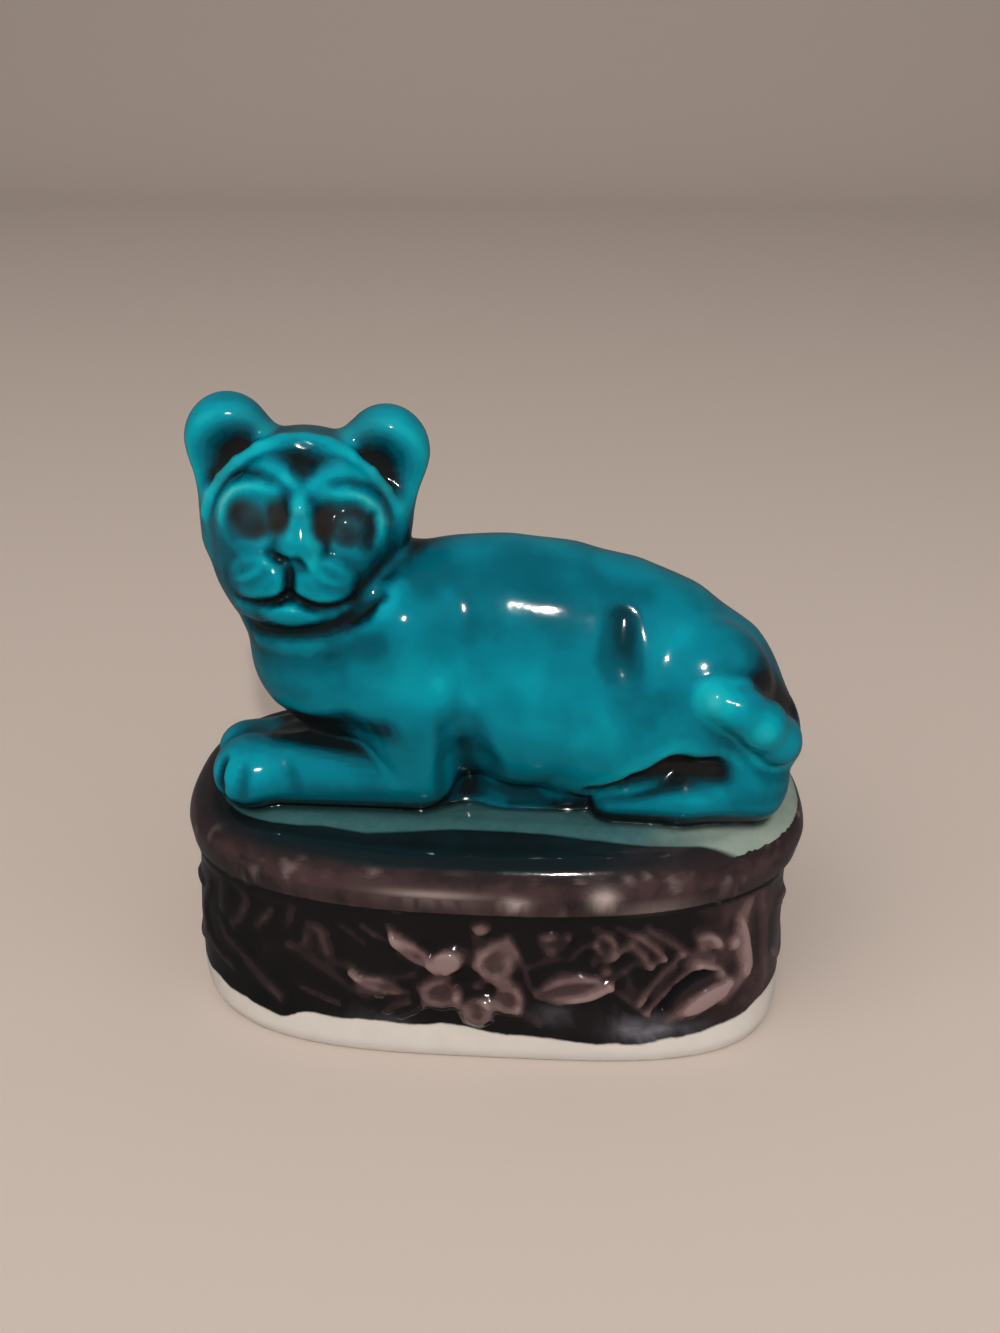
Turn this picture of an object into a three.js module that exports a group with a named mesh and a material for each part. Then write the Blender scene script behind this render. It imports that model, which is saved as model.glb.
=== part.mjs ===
// A small glazed porcelain cat lying on an oval moulded base, one fired piece.
// Millimetres, +Z up.  The cat lies along X with its head at -X; it looks out over the front, -Y.
// The body is described as rounded cones and ellipsoids that flow into each other,
// with carved grooves, and the skin of that form is then drawn as one closed faceted surface.

import * as THREE from 'three';
import * as BufferGeometryUtils from 'three/addons/utils/BufferGeometryUtils.js';

// ---------------------------------------------------------------- driving sizes (mm)
const PLATE_TOP = 26.4;          // height of the base's top plate
const LIP_BOTTOM = 19.3;         // underside of the rolled lip
const LIP_WIDEST = 22.4;         // height of the fullest part of the roll
const LIP_ROUNDING = 3.2;        // rounding of the roll into the top plate
const PLATE_DIP = 0.35;          // shallow gutter just inside the roll
const FOOT_BAND = 4.0;           // height where the foot swells to its fullest
const HEAD_CENTRE = [-20.0, -2.0, 57.0];
const HEAD_YAW = 6, HEAD_PITCH = 8, HEAD_ROLL = 5;      // degrees
const SKULL = [10.3, 9.9, 8.6];  // half width, half height, half depth
const JAW = [9.3, 7.3, 7.6];
const MASK = [9.6, 8.6, 7.8];    // the raised face inside the ears
const EAR = [4.2, 4.5, 3.2];
const TORSO_FLATTEN = 1.45;      // the trunk is taller than it is wide
const CELL = 0.8;                // spacing of the sampling lattice
const TRIANGLES = 9600;          // facets kept in the finished surface
const MIDDLE_X = -0.16;          // middle of the base's length, moved to the origin

// stations of the base's outline: height, reach to the left, reach to the right,
// half depth, and how square the outline is at the left and at the right
const BASE_STATIONS = [
  { z: 0.0,              left: 34.9, right: 33.9, half: 20.2,  nl: 3.2,  nr: 3.7 },
  { z: 1.2,              left: 35.6, right: 34.4, half: 20.3,  nl: 3.2,  nr: 3.6 },
  { z: FOOT_BAND,        left: 36.3, right: 35.0, half: 19.9,  nl: 3.2,  nr: 3.3 },
  { z: 10.0,             left: 36.3, right: 34.9, half: 19.3,  nl: 3.0,  nr: 3.0 },
  { z: LIP_BOTTOM - 0.7, left: 35.7, right: 34.7, half: 18.3,  nl: 2.7,  nr: 2.6 },
  { z: LIP_BOTTOM,       left: 35.6, right: 34.7, half: 18.2,  nl: 2.65, nr: 2.5 },
  { z: LIP_BOTTOM + 0.6, left: 36.0, right: 35.5, half: 18.85, nl: 2.6,  nr: 2.45 },
  { z: LIP_WIDEST,       left: 36.2, right: 36.0, half: 19.15, nl: 2.6,  nr: 2.45 },
  { z: PLATE_TOP,        left: 35.9, right: 35.7, half: 18.85, nl: 2.6,  nr: 2.45 },
];

// ---------------------------------------------------------------- form functions
const rad = (d) => d * Math.PI / 180;
const mix = (a, b, t) => a + (b - a) * t;

function blend(a, b, k) {                       // join two forms with a soft fillet of size k
  const h = Math.max(k - Math.abs(a - b), 0) / k;
  return Math.min(a, b) - h * h * k * 0.25;
}
const trim = (a, b, k) => -blend(-a, -b, k);    // keep what lies in both

function turnZ(deg) {
  const c = Math.cos(rad(deg)), s = Math.sin(rad(deg));
  return [[c, s, 0], [-s, c, 0], [0, 0, 1]];
}
function turnY(deg) {
  const c = Math.cos(rad(deg)), s = Math.sin(rad(deg));
  return [[c, 0, -s], [0, 1, 0], [s, 0, c]];
}

// an ellipsoid: centre, half axes, optional turn
function ball(centre, r, turn) {
  return (x, y, z) => {
    let a = x - centre[0], b = y - centre[1], c = z - centre[2];
    if (turn) {
      const [p, q, s] = turn;
      [a, b, c] = [p[0] * a + p[1] * b + p[2] * c, q[0] * a + q[1] * b + q[2] * c, s[0] * a + s[1] * b + s[2] * c];
    }
    a /= r[0]; b /= r[1]; c /= r[2];
    const k0 = Math.sqrt(a * a + b * b + c * c);
    a /= r[0]; b /= r[1]; c /= r[2];
    const k1 = Math.sqrt(a * a + b * b + c * c) + 1e-9;
    return k0 * (k0 - 1) / k1;
  };
}

// rounded cones strung through stations [x, y, z, radius]; flatten squeezes it across Y
function limb(stations, k = 1, flatten = 1) {
  const p = stations.map((s) => [s[0], s[1] * flatten, s[2], s[3]]);
  return (x, y, z) => {
    y *= flatten;
    let f = Infinity;
    for (let i = 0; i + 1 < p.length; i++) {
      const a = p[i], b = p[i + 1];
      const dx = b[0] - a[0], dy = b[1] - a[1], dz = b[2] - a[2];
      const qx = x - a[0], qy = y - a[1], qz = z - a[2];
      const t = Math.min(1, Math.max(0, (qx * dx + qy * dy + qz * dz) / (dx * dx + dy * dy + dz * dz)));
      const g = Math.hypot(qx - t * dx, qy - t * dy, qz - t * dz) - mix(a[3], b[3], t);
      f = f === Infinity ? g : blend(f, g, k);
    }
    return flatten === 1 ? f : f / 1.15;
  };
}

const grow = (form, k) => ({ form, k, carve: false });
const carve = (form, k) => ({ form, k, carve: true });
function shape(steps, x, y, z) {
  let f = 40;
  for (const s of steps) {
    const g = s.form(x, y, z);
    f = s.carve ? trim(f, -g, s.k) : blend(f, g, s.k);
  }
  return f;
}
const SIDES = [-1, 1];

// ---------------------------------------------------------------- base
function outline(z) {
  const S = BASE_STATIONS, last = S.length - 1;
  if (z <= S[0].z) return S[0];
  if (z >= S[last].z) return S[last];
  let i = 0;
  while (z > S[i + 1].z) i++;
  const t = (z - S[i].z) / (S[i + 1].z - S[i].z), a = S[i], b = S[i + 1], o = {};
  for (const key in a) o[key] = mix(a[key], b[key], t);
  return o;
}
function base(x, y, z) {
  const o = outline(z);
  const a = x < 0 ? o.left : o.right, n = x < 0 ? o.nl : o.nr;
  const ax = Math.abs(x) / a, ay = Math.abs(y) / o.half;
  const s = Math.max((ax ** n + ay ** n) ** (1 / n), 1e-6);
  const side = Math.max((s - 1) / (Math.hypot((ax / s) ** (n - 1) / a, (ay / s) ** (n - 1) / o.half) + 1e-9), -8);
  const dip = PLATE_DIP * Math.exp(-(((side + 4.2) / 1.6) ** 2));
  return Math.max(trim(side, z - (PLATE_TOP - dip), LIP_ROUNDING), -z);
}

// ---------------------------------------------------------------- cat: trunk, legs, tail
const BODY = [
  // trunk from the shoulders to the rump
  grow(limb([[-9, 0, 40.4, 14.0], [1, 0, 40.7, 14.3], [7, 0, 40.6, 13.8], [15, -0.2, 39.6, 12.2],
    [22, -0.3, 36.8, 10.2], [28.6, -0.3, 33.0, 6.0]], 2, TORSO_FLATTEN), 1),
  grow(ball([5, 0, 33.5], [13, 9.6, 8.6]), 3),                                   // belly
  grow(limb([[-20.2, -1, 52, 8.8], [-15.6, 0, 42, 10.4]]), 4),                   // neck
  grow(ball([-15.8, -1.2, 42.2], [11, 10, 8]), 1.6),                             // breast
  grow(ball([-6.5, 0, 34], [7.5, 8.5, 8.5]), 2),
  grow(ball([3, 0.2, 27], [25, 8.3, 5.2]), 0.8),                                 // bed under the trunk
  grow(ball([-17, -3, 28.8], [11, 5.6, 5.4]), 0.8),                              // web between the forelegs
  carve(limb([[-27, -5.5, 34.6, 0.8], [-20, -9.4, 36, 1.1], [-12.5, -11.6, 37.2, 0.7]]), 1.4),
  // near foreleg
  grow(limb([[-9.4, -6.2, 48, 5.2], [-8.4, -7.6, 40, 4.9], [-8, -7.6, 31.6, 4.5]]), 1.2),
  carve(limb([[-3.4, -11.2, 48.4, 0.6], [-2.7, -11.4, 41, 1.4], [-2.2, -10.4, 34.5, 2.2], [-2.4, -8.6, 28, 2.6]]), 1),
  grow(limb([[-8.6, -7.1, 30.9, 4.6], [-24, -7.4, 30.4, 4.0]]), 0.8),
  grow(ball([-26.6, -7.6, 30.1], [4.6, 4.6, 4.0]), 0.6),
  // far foreleg
  grow(limb([[-8, 4, 30.6, 4.2], [-26.5, -1.2, 29.4, 3.0]]), 0.8),
  grow(ball([-28.4, -1.8, 29.2], [3.8, 3.3, 3.3]), 0.8),
  // wrist crease
  carve(limb([[-22.3, -10.8, 34, 0.3], [-21.9, -12, 31, 0.5], [-21.6, -11.8, 28, 0.4]]), 0.8),
];
for (const s of SIDES) {
  const full = s < 0 ? 1 : 0.86;                // the far thigh stays below the line of the back
  BODY.push(
    grow(ball([21.2, s * 4.9, s < 0 ? 38.8 : 37.8], [8.6 * full, 6.9, 10.2 * full], turnY(24)), 1),
    grow(limb([[23.5, s * 5.8, 35, 5.0], [28.2, s * 6.8, 31.2, 4.4]]), 1.6),
    carve(limb([[12.2, s * 6.2, 53, 0.6], [12.8, s * 7.4, 50.6, 1.0], [13.4, s * 9.4, 46.7, 1.3],
      [14.8, s * 10.3, 42.7, 1.5], [16.6, s * 11, 38.2, 1.4]]), 1.4),
    carve(limb([[12.6, s * 9.6, 30.6, 0.8], [18.6, s * 9.8, 34.7, 2.1], [25, s * 10.4, 34, 1.4]]), 0.8),
    grow(limb([[28.4, s * 7.2, 29.7, 3.9], [21, s * 8, 29.1, 3.3], [13.5, s * 7.9, 28.2, 2.6]]), 0.8),
  );
}
BODY.push(
  // hollow above the tail, then the tail laid round the rump and over the near thigh
  carve(limb([[23.4, -12.2, 45, 0.8], [27.6, -10.9, 43.2, 1.4], [31.4, -7.4, 39.4, 1.5], [33.6, -3, 36.2, 1.0]]), 1),
  grow(limb([[31.2, 2.5, 32.6, 2.6], [31.1, -4.8, 34, 2.6], [29.8, -8.8, 36.3, 2.3], [27.2, -10.7, 39.4, 2.0],
    [23.5, -11.1, 41.9, 1.7]]), 0.5),
);

// ---------------------------------------------------------------- cat: head
// head coordinates: u to the viewer's right, v up, w out of the face
const HEAD_AXES = (() => {
  const y = rad(HEAD_YAW), p = rad(HEAD_PITCH), r = rad(HEAD_ROLL);
  const w = new THREE.Vector3(Math.sin(y) * Math.cos(p), -Math.cos(y) * Math.cos(p), Math.sin(p));
  const v = new THREE.Vector3(-Math.sin(y) * Math.sin(p), Math.cos(y) * Math.sin(p), Math.cos(p));
  const u = new THREE.Vector3().crossVectors(v, w);
  const u2 = u.clone().multiplyScalar(Math.cos(r)).addScaledVector(v, -Math.sin(r));
  const v2 = u.clone().multiplyScalar(Math.sin(r)).addScaledVector(v, Math.cos(r));
  return [u2.toArray(), v2.toArray(), w.toArray()];
})();

const HEAD = [
  grow(ball([0.1, 0.6, -1.6], SKULL), 1),
  grow(ball([0.3, -3.9, 1.2], JAW), 2.6),
];
for (const s of SIDES) {
  HEAD.push(
    grow(ball([s < 0 ? -8.2 : 8.1, s < 0 ? 8.7 : 8.6, -2.4], EAR, turnZ(s * -4)), 2.2),
    grow(limb([[s * 8.4, 8, -2.2, 3.6], [s * 8.6, -1.5, -2, 2.4]]), 2.6),
    carve(ball([s * 7.5, 7.3, 1.6], [2.6, 3.9, 2.6], turnZ(s * -20)), 1.8),
  );
}
HEAD.push(
  grow(ball([0, 0.6, 1], MASK), 0.7),
  carve(ball([0.15, 7.8, 6.6], [1.5, 1.7, 1.8]), 1.2),                           // dimple in the forehead
);
for (const s of SIDES) {
  HEAD.push(
    grow(limb([[s * 0.5 + 0.2, 4.6, 8, 0.8], [s * 2, 6.3, 6.8, 0.85], [s * 3.2, 7.7, 5.2, 0.7]]), 0.9), // brow
    carve(ball([s * 4.35 + 0.1, 2.9, 9.2], [3.0, 1.95, 2.4], turnZ(s * -8)), 0.8),     // eye socket
    grow(ball([s * 5, 2.9, 6.3], [1.75, 1.5, 1.35]), 0.3),                             // eyeball
    grow(ball([s * 3.35 - 0.2, -3.2, 7.6], [3.2, 2.6, 2.7], turnZ(s * -12)), 0.9),     // muzzle pad
  );
}
HEAD.push(
  grow(limb([[0.3, 4.6, 7.3, 1.1], [0.4, 0.4, 8.6, 1.7]]), 1.2),                 // bridge of the nose
  grow(ball([0.3, 0.4, 9.2], [2.3, 1.5, 1.6]), 0.8),                             // nose
  grow(ball([-0.1, -7.2, 6.9], [3.2, 1.8, 2.2]), 1.0),                           // chin
  carve(limb([[-5.6, -6.1, 7.6, 0.35], [-3.3, -6, 9.1, 0.55], [-0.6, -5, 10.2, 0.5], [1.2, -5.4, 10, 0.5],
    [3, -6.1, 9.2, 0.55], [4.9, -5.9, 8.2, 0.35]], 0.3), 0.8),                   // mouth
  carve(limb([[-0.5, -1.7, 10.8, 0.4], [-0.6, -5, 10.4, 0.5]]), 0.8),
);

function cat(x, y, z) {
  let f = shape(BODY, x, y, z);
  const a = x - HEAD_CENTRE[0], b = y - HEAD_CENTRE[1], c = z - HEAD_CENTRE[2];
  if (a * a + b * b + c * c < 400) {
    const [u, v, w] = HEAD_AXES.map((r) => r[0] * a + r[1] * b + r[2] * c);
    f = blend(f, shape(HEAD, u, v, w), 0.8);
  }
  return trim(f, 25.5 - z, 0.3);
}

function figurine(x, y, z) {
  const b = base(x, y, z);
  return z > 24.5 ? blend(b, cat(x, y, z), 0.8) : b;
}

// gaps too narrow for the lattice are filled, so that the skin never touches itself:
// no square of the lattice has only its two opposite corners inside, nor any cube
function closePinches(val, n, at) {
  const squares = [[[1, 0, 0], [0, 1, 0]], [[0, 1, 0], [0, 0, 1]], [[0, 0, 1], [1, 0, 0]]];
  const fill = (out) => { val[val[out[0]] < val[out[1]] ? out[0] : out[1]] = -1e-3; };
  for (let changed = true; changed;) {
    changed = false;
    for (let k = 0; k < n[2] - 1; k++) for (let j = 0; j < n[1] - 1; j++) for (let i = 0; i < n[0] - 1; i++) {
      for (const [p, q] of squares) {
        const c = [at(i, j, k), at(i + p[0], j + p[1], k + p[2]),
          at(i + p[0] + q[0], j + p[1] + q[1], k + p[2] + q[2]), at(i + q[0], j + q[1], k + q[2])];
        const s = c.map((m) => val[m] < 0);
        if (s[0] === s[2] && s[1] === s[3] && s[0] !== s[1]) { fill(s[0] ? [c[1], c[3]] : [c[0], c[2]]); changed = true; }
      }
      for (const d of [[1, 1], [1, -1], [-1, 1], [-1, -1]]) {
        const a = at(i, d[0] > 0 ? j : j + 1, d[1] > 0 ? k : k + 1), b = at(i + 1, d[0] > 0 ? j + 1 : j, d[1] > 0 ? k + 1 : k);
        let inside = 0;
        for (let c = 0; c < 8; c++) if (val[at(i + (c & 1), j + ((c >> 1) & 1), k + (c >> 2))] < 0) inside++;
        if (inside === 2 && val[a] < 0 && val[b] < 0) { val[at(i + 1, d[0] > 0 ? j : j + 1, d[1] > 0 ? k : k + 1)] = -1e-3; changed = true; }
        if (inside === 6 && val[a] >= 0 && val[b] >= 0) { fill([a, b]); changed = true; }
      }
    }
  }
}

// ---------------------------------------------------------------- skin of the form
// one point in each lattice cell that the surface crosses, joined across the crossed edges
function skin(form, lo, hi, h) {
  const n = [0, 1, 2].map((i) => Math.ceil((hi[i] - lo[i]) / h) + 1);
  const at = (i, j, k) => (k * n[1] + j) * n[0] + i;
  const val = new Float64Array(n[0] * n[1] * n[2]);
  for (let k = 0; k < n[2]; k++) for (let j = 0; j < n[1]; j++) for (let i = 0; i < n[0]; i++)
    val[at(i, j, k)] = form(lo[0] + i * h, lo[1] + j * h, lo[2] + k * h);
  closePinches(val, n, at);
  const cell = new Int32Array(val.length).fill(-1), pts = [], tris = [];
  const corner = [];
  for (let c = 0; c < 8; c++) corner.push([c & 1, (c >> 1) & 1, c >> 2]);
  for (let k = 0; k < n[2] - 1; k++) for (let j = 0; j < n[1] - 1; j++) for (let i = 0; i < n[0] - 1; i++) {
    const v = corner.map((c) => val[at(i + c[0], j + c[1], k + c[2])]);
    let sum = [0, 0, 0], count = 0;
    for (let c = 0; c < 8; c++) for (const bit of [1, 2, 4]) {
      if (c & bit) continue;
      const d = c | bit;
      if ((v[c] < 0) === (v[d] < 0)) continue;
      const t = v[c] / (v[c] - v[d]);
      for (let m = 0; m < 3; m++) sum[m] += corner[c][m] + t * (corner[d][m] - corner[c][m]);
      count++;
    }
    if (!count) continue;
    cell[at(i, j, k)] = pts.length;
    pts.push([lo[0] + (i + sum[0] / count) * h, lo[1] + (j + sum[1] / count) * h, lo[2] + (k + sum[2] / count) * h]);
  }
  const step = [1, n[0], n[0] * n[1]];
  for (let k = 1; k < n[2] - 1; k++) for (let j = 1; j < n[1] - 1; j++) for (let i = 1; i < n[0] - 1; i++) {
    const here = at(i, j, k);
    for (let m = 0; m < 3; m++) {
      const inside = val[here] < 0;
      if (inside === (val[here + step[m]] < 0)) continue;
      const p = step[(m + 1) % 3], q = step[(m + 2) % 3];
      const ring = [cell[here - p - q], cell[here - q], cell[here], cell[here - p]];
      if (!inside) ring.reverse();
      const d = (a, b) => Math.hypot(...pts[a].map((c, t) => c - pts[b][t]));
      if (d(ring[0], ring[2]) < d(ring[1], ring[3])) tris.push([ring[0], ring[1], ring[2]], [ring[0], ring[2], ring[3]]);
      else tris.push([ring[0], ring[1], ring[3]], [ring[1], ring[2], ring[3]]);
    }
  }
  // draw each point onto the true surface
  const e = 0.05;
  for (let pass = 0; pass < 3; pass++) for (const p of pts) {
    const f = form(...p);
    const g = [0, 1, 2].map((m) => {
      const a = p.slice(), b = p.slice(); a[m] += e; b[m] -= e;
      return (form(...a) - form(...b)) / (2 * e);
    });
    const s = f / Math.max(g[0] ** 2 + g[1] ** 2 + g[2] ** 2, 0.05);
    const l = Math.abs(s) * Math.hypot(...g), cap = l > 0.4 * h ? 0.4 * h / l : 1;
    for (let m = 0; m < 3; m++) p[m] -= s * g[m] * cap;
  }
  return { pts, tris };
}

// ---------------------------------------------------------------- fewer, larger facets
// edges are folded away in the order that moves the surface least
function simplify({ pts, tris }, target) {
  const Q = pts.map(() => new Float64Array(10));
  const faces = pts.map(() => new Set());
  const live = tris.map(() => true);
  let count = tris.length;
  const plane = (t) => {
    const [a, b, c] = t.map((i) => pts[i]);
    const ux = b[0] - a[0], uy = b[1] - a[1], uz = b[2] - a[2];
    const vx = c[0] - a[0], vy = c[1] - a[1], vz = c[2] - a[2];
    const nx = uy * vz - uz * vy, ny = uz * vx - ux * vz, nz = ux * vy - uy * vx;
    const l = Math.hypot(nx, ny, nz) || 1e-12;
    return [nx / l, ny / l, nz / l, -(nx * a[0] + ny * a[1] + nz * a[2]) / l, l / 2];
  };
  tris.forEach((t, f) => {
    const [a, b, c, d, w] = plane(t);
    const q = [a * a, a * b, a * c, a * d, b * b, b * c, b * d, c * c, c * d, d * d];
    for (const i of t) { faces[i].add(f); for (let m = 0; m < 10; m++) Q[i][m] += q[m] * w; }
  });
  const cost = (q, [x, y, z]) => q[0] * x * x + 2 * q[1] * x * y + 2 * q[2] * x * z + 2 * q[3] * x
    + q[4] * y * y + 2 * q[5] * y * z + 2 * q[6] * y + q[7] * z * z + 2 * q[8] * z + q[9];
  const stamp = new Int32Array(pts.length), gone = new Uint8Array(pts.length);
  const heap = [];
  const up = (item) => {
    let i = heap.push(item) - 1;
    while (i > 0) {
      const p = (i - 1) >> 1;
      if (heap[p][0] <= item[0]) break;
      heap[i] = heap[p]; i = p;
    }
    heap[i] = item;
  };
  const pop = () => {
    const top = heap[0], item = heap.pop();
    if (heap.length) {
      let i = 0;
      for (;;) {
        let c = 2 * i + 1;
        if (c >= heap.length) break;
        if (c + 1 < heap.length && heap[c + 1][0] < heap[c][0]) c++;
        if (heap[c][0] >= item[0]) break;
        heap[i] = heap[c]; i = c;
      }
      heap[i] = item;
    }
    return top;
  };
  const offer = (a, b) => {
    const q = Q[a].map((v, i) => v + Q[b][i]);
    const mid = pts[a].map((v, i) => (v + pts[b][i]) / 2);
    let best = mid;
    const det = q[0] * (q[4] * q[7] - q[5] * q[5]) - q[1] * (q[1] * q[7] - q[5] * q[2]) + q[2] * (q[1] * q[5] - q[4] * q[2]);
    const scale = (q[0] + q[4] + q[7]) / 3;
    if (Math.abs(det) > 1e-3 * scale ** 3) {
      const r = [-q[3], -q[6], -q[8]];
      const x = (r[0] * (q[4] * q[7] - q[5] * q[5]) - q[1] * (r[1] * q[7] - q[5] * r[2]) + q[2] * (r[1] * q[5] - q[4] * r[2])) / det;
      const y = (q[0] * (r[1] * q[7] - q[5] * r[2]) - r[0] * (q[1] * q[7] - q[5] * q[2]) + q[2] * (q[1] * r[2] - r[1] * q[2])) / det;
      const z = (q[0] * (q[4] * r[2] - r[1] * q[5]) - q[1] * (q[1] * r[2] - r[1] * q[2]) + r[0] * (q[1] * q[5] - q[4] * q[2])) / det;
      if (Math.hypot(x - mid[0], y - mid[1], z - mid[2]) < 2) best = [x, y, z];
    }
    const l = Math.hypot(...pts[a].map((v, i) => v - pts[b][i]));
    up([Math.max(cost(q, best), 0) + 2e-4 * l * l * l, a, b, stamp[a], stamp[b], best]);
  };
  const around = (i) => {
    const s = new Set();
    for (const f of faces[i]) for (const j of tris[f]) if (j !== i) s.add(j);
    return s;
  };
  for (const t of tris) for (let m = 0; m < 3; m++) if (t[m] < t[(m + 1) % 3]) offer(t[m], t[(m + 1) % 3]);
  while (count > target && heap.length) {
    const [, a, b, sa, sb, to] = pop();
    if (gone[a] || gone[b] || stamp[a] !== sa || stamp[b] !== sb) continue;
    const na = around(a), nb = around(b);
    let shared = 0;
    for (const i of na) if (nb.has(i)) shared++;
    if (shared !== 2 || na.size + nb.size < 9) continue;
    let ok = true;
    for (const [me, other] of [[a, b], [b, a]]) for (const f of faces[me]) {
      const t = tris[f];
      if (t.includes(other)) continue;
      const before = plane(t), old = pts[me];
      pts[me] = to;
      const after = plane(t);
      pts[me] = old;
      const [p, q, r] = t.map((i) => (i === me ? to : pts[i]));
      const longest = Math.max(Math.hypot(p[0] - q[0], p[1] - q[1], p[2] - q[2]),
        Math.hypot(q[0] - r[0], q[1] - r[1], q[2] - r[2]), Math.hypot(r[0] - p[0], r[1] - p[1], r[2] - p[2]));
      if (before[0] * after[0] + before[1] * after[1] + before[2] * after[2] < 0.5
        || after[4] < 0.02 * longest * longest || after[4] < 1e-3) { ok = false; break; }
    }
    if (!ok) continue;
    pts[a] = to;
    for (let m = 0; m < 10; m++) Q[a][m] += Q[b][m];
    for (const f of faces[b]) {
      if (tris[f].includes(a)) {
        live[f] = false; count--;
        for (const i of tris[f]) faces[i].delete(f);
      } else {
        tris[f] = tris[f].map((i) => (i === b ? a : i));
        faces[a].add(f);
      }
    }
    gone[b] = 1; stamp[a]++;
    for (const i of around(a)) offer(Math.min(a, i), Math.max(a, i));
  }
  return { pts, tris: tris.filter((t, i) => live[i]) };
}

// ---------------------------------------------------------------- the figurine
const surface = simplify(skin(figurine, [-38.2, -22.2, -1.2], [38.2, 22.2, 72.8], CELL), TRIANGLES);
const flat = (z) => (Math.abs(z) < 0.04 ? 0 : z);        // the underside is one true plane
const soup = [];
for (const t of surface.tris) for (const i of t) {
  const [x, y, z] = surface.pts[i];
  soup.push(x - MIDDLE_X, y, flat(z));
}
const loose = new THREE.BufferGeometry();
loose.setAttribute('position', new THREE.Float32BufferAttribute(soup, 3));
const geometry = BufferGeometryUtils.mergeVertices(loose, 1e-5);
geometry.computeVertexNormals();

const glaze = new THREE.MeshStandardMaterial({ color: 0x016b7c, roughness: 0.12, metalness: 0 });
const figure = new THREE.Mesh(geometry, glaze);
figure.name = 'cat_figurine';

const part = new THREE.Group();
part.add(figure);

export default part;
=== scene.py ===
import bpy, math
from mathutils import Vector, Matrix


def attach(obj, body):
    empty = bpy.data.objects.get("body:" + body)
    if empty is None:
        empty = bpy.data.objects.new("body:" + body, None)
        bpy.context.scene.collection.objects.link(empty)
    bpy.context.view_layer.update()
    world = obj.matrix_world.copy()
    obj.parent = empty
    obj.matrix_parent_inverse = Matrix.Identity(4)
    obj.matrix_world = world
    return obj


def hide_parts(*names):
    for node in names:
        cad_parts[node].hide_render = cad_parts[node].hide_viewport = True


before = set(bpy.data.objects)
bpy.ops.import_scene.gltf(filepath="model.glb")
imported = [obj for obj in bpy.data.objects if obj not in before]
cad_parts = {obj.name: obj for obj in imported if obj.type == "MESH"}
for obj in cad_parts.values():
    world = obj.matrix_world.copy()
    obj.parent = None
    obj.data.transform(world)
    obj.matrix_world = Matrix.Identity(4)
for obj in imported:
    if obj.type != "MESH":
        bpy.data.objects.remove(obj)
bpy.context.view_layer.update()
import numpy as np
from concurrent.futures import ThreadPoolExecutor
F=np.float32
def smin(a,b,k):
    h=np.maximum(k-np.abs(a-b),0)*(1.0/k)
    return np.minimum(a,b)-h*h*(k*0.25)
def smax(a,b,k): return -smin(-a,-b,k)
def rotz(d):
    c,s=np.cos(np.radians(d)),np.sin(np.radians(d))
    return np.array([[c,s,0],[-s,c,0],[0,0,1]])
def roty(d):
    c,s=np.cos(np.radians(d)),np.sin(np.radians(d))
    return np.array([[c,0,-s],[0,1,0],[s,0,c]])
def rotm(yaw=0,pitch=0,roll=0):
    """rows = local axes right, up, forward; yaw turns the face (forward=-Y) towards +X"""
    y,p,r=np.radians([yaw,pitch,roll])
    f=np.array([np.sin(y)*np.cos(p),-np.cos(y)*np.cos(p),np.sin(p)])
    u=np.array([-np.sin(y)*np.sin(p),np.cos(y)*np.sin(p),np.cos(p)])
    rt=np.cross(u,f)
    c,s=np.cos(r),np.sin(r)
    return np.array([c*rt-s*u,s*rt+c*u,f])
class Ell:
    def __init__(s,c,r,rot=None):
        s.c=np.array(c,F); s.r=np.array(r,F); s.rot=None if rot is None else np.array(rot,F).T
        m=max(r); s.lo=s.c-m; s.hi=s.c+m
    def __call__(s,P):
        q=P-s.c
        if s.rot is not None: q=q@s.rot
        a=q/s.r; k0=np.sqrt((a*a).sum(1)); b=a/s.r; k1=np.sqrt((b*b).sum(1))+F(1e-9)
        return k0*(k0-1)/k1
class Chain:
    """round cones through x,y,z,radius stations; y stretched by ys"""
    def __init__(s,pts,k=1.0,ys=1.0):
        s.p=[np.array(p[:3],F)*np.array([1,ys,1],F) for p in pts]; s.r=[p[3] for p in pts]; s.k=k; s.ys=ys
        a=np.array([p[:3] for p in pts]); m=max(s.r); s.lo=a.min(0)-m; s.hi=a.max(0)+m
    def __call__(s,P):
        f=None
        if s.ys!=1: P=P*np.array([1,s.ys,1],F)
        for a,b,ra,rb in zip(s.p[:-1],s.p[1:],s.r[:-1],s.r[1:]):
            d=b-a; q=P-a
            t=np.clip((q@d)/(d@d),0,1)
            q=q-t[:,None]*d
            g=np.sqrt((q*q).sum(1))-(ra+(rb-ra)*t)
            f=g if f is None else smin(f,g,s.k)
        return f if s.ys==1 else f/1.15
def box_idx(P,g,m):
    lo=g.lo-m; hi=g.hi+m
    k=(P[:,0]>lo[0])&(P[:,0]<hi[0])&(P[:,1]>lo[1])&(P[:,1]<hi[1])&(P[:,2]>lo[2])&(P[:,2]<hi[2])
    return np.flatnonzero(k)
def add(f,P,g,k):
    i=box_idx(P,g,max(6.0,k+2))
    if len(i): f[i]=smin(f[i],g(P[i]),k)
def cut(f,P,g,k):
    i=box_idx(P,g,k+1.2)
    if len(i): f[i]=smax(f[i],-g(P[i]),k)

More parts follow.
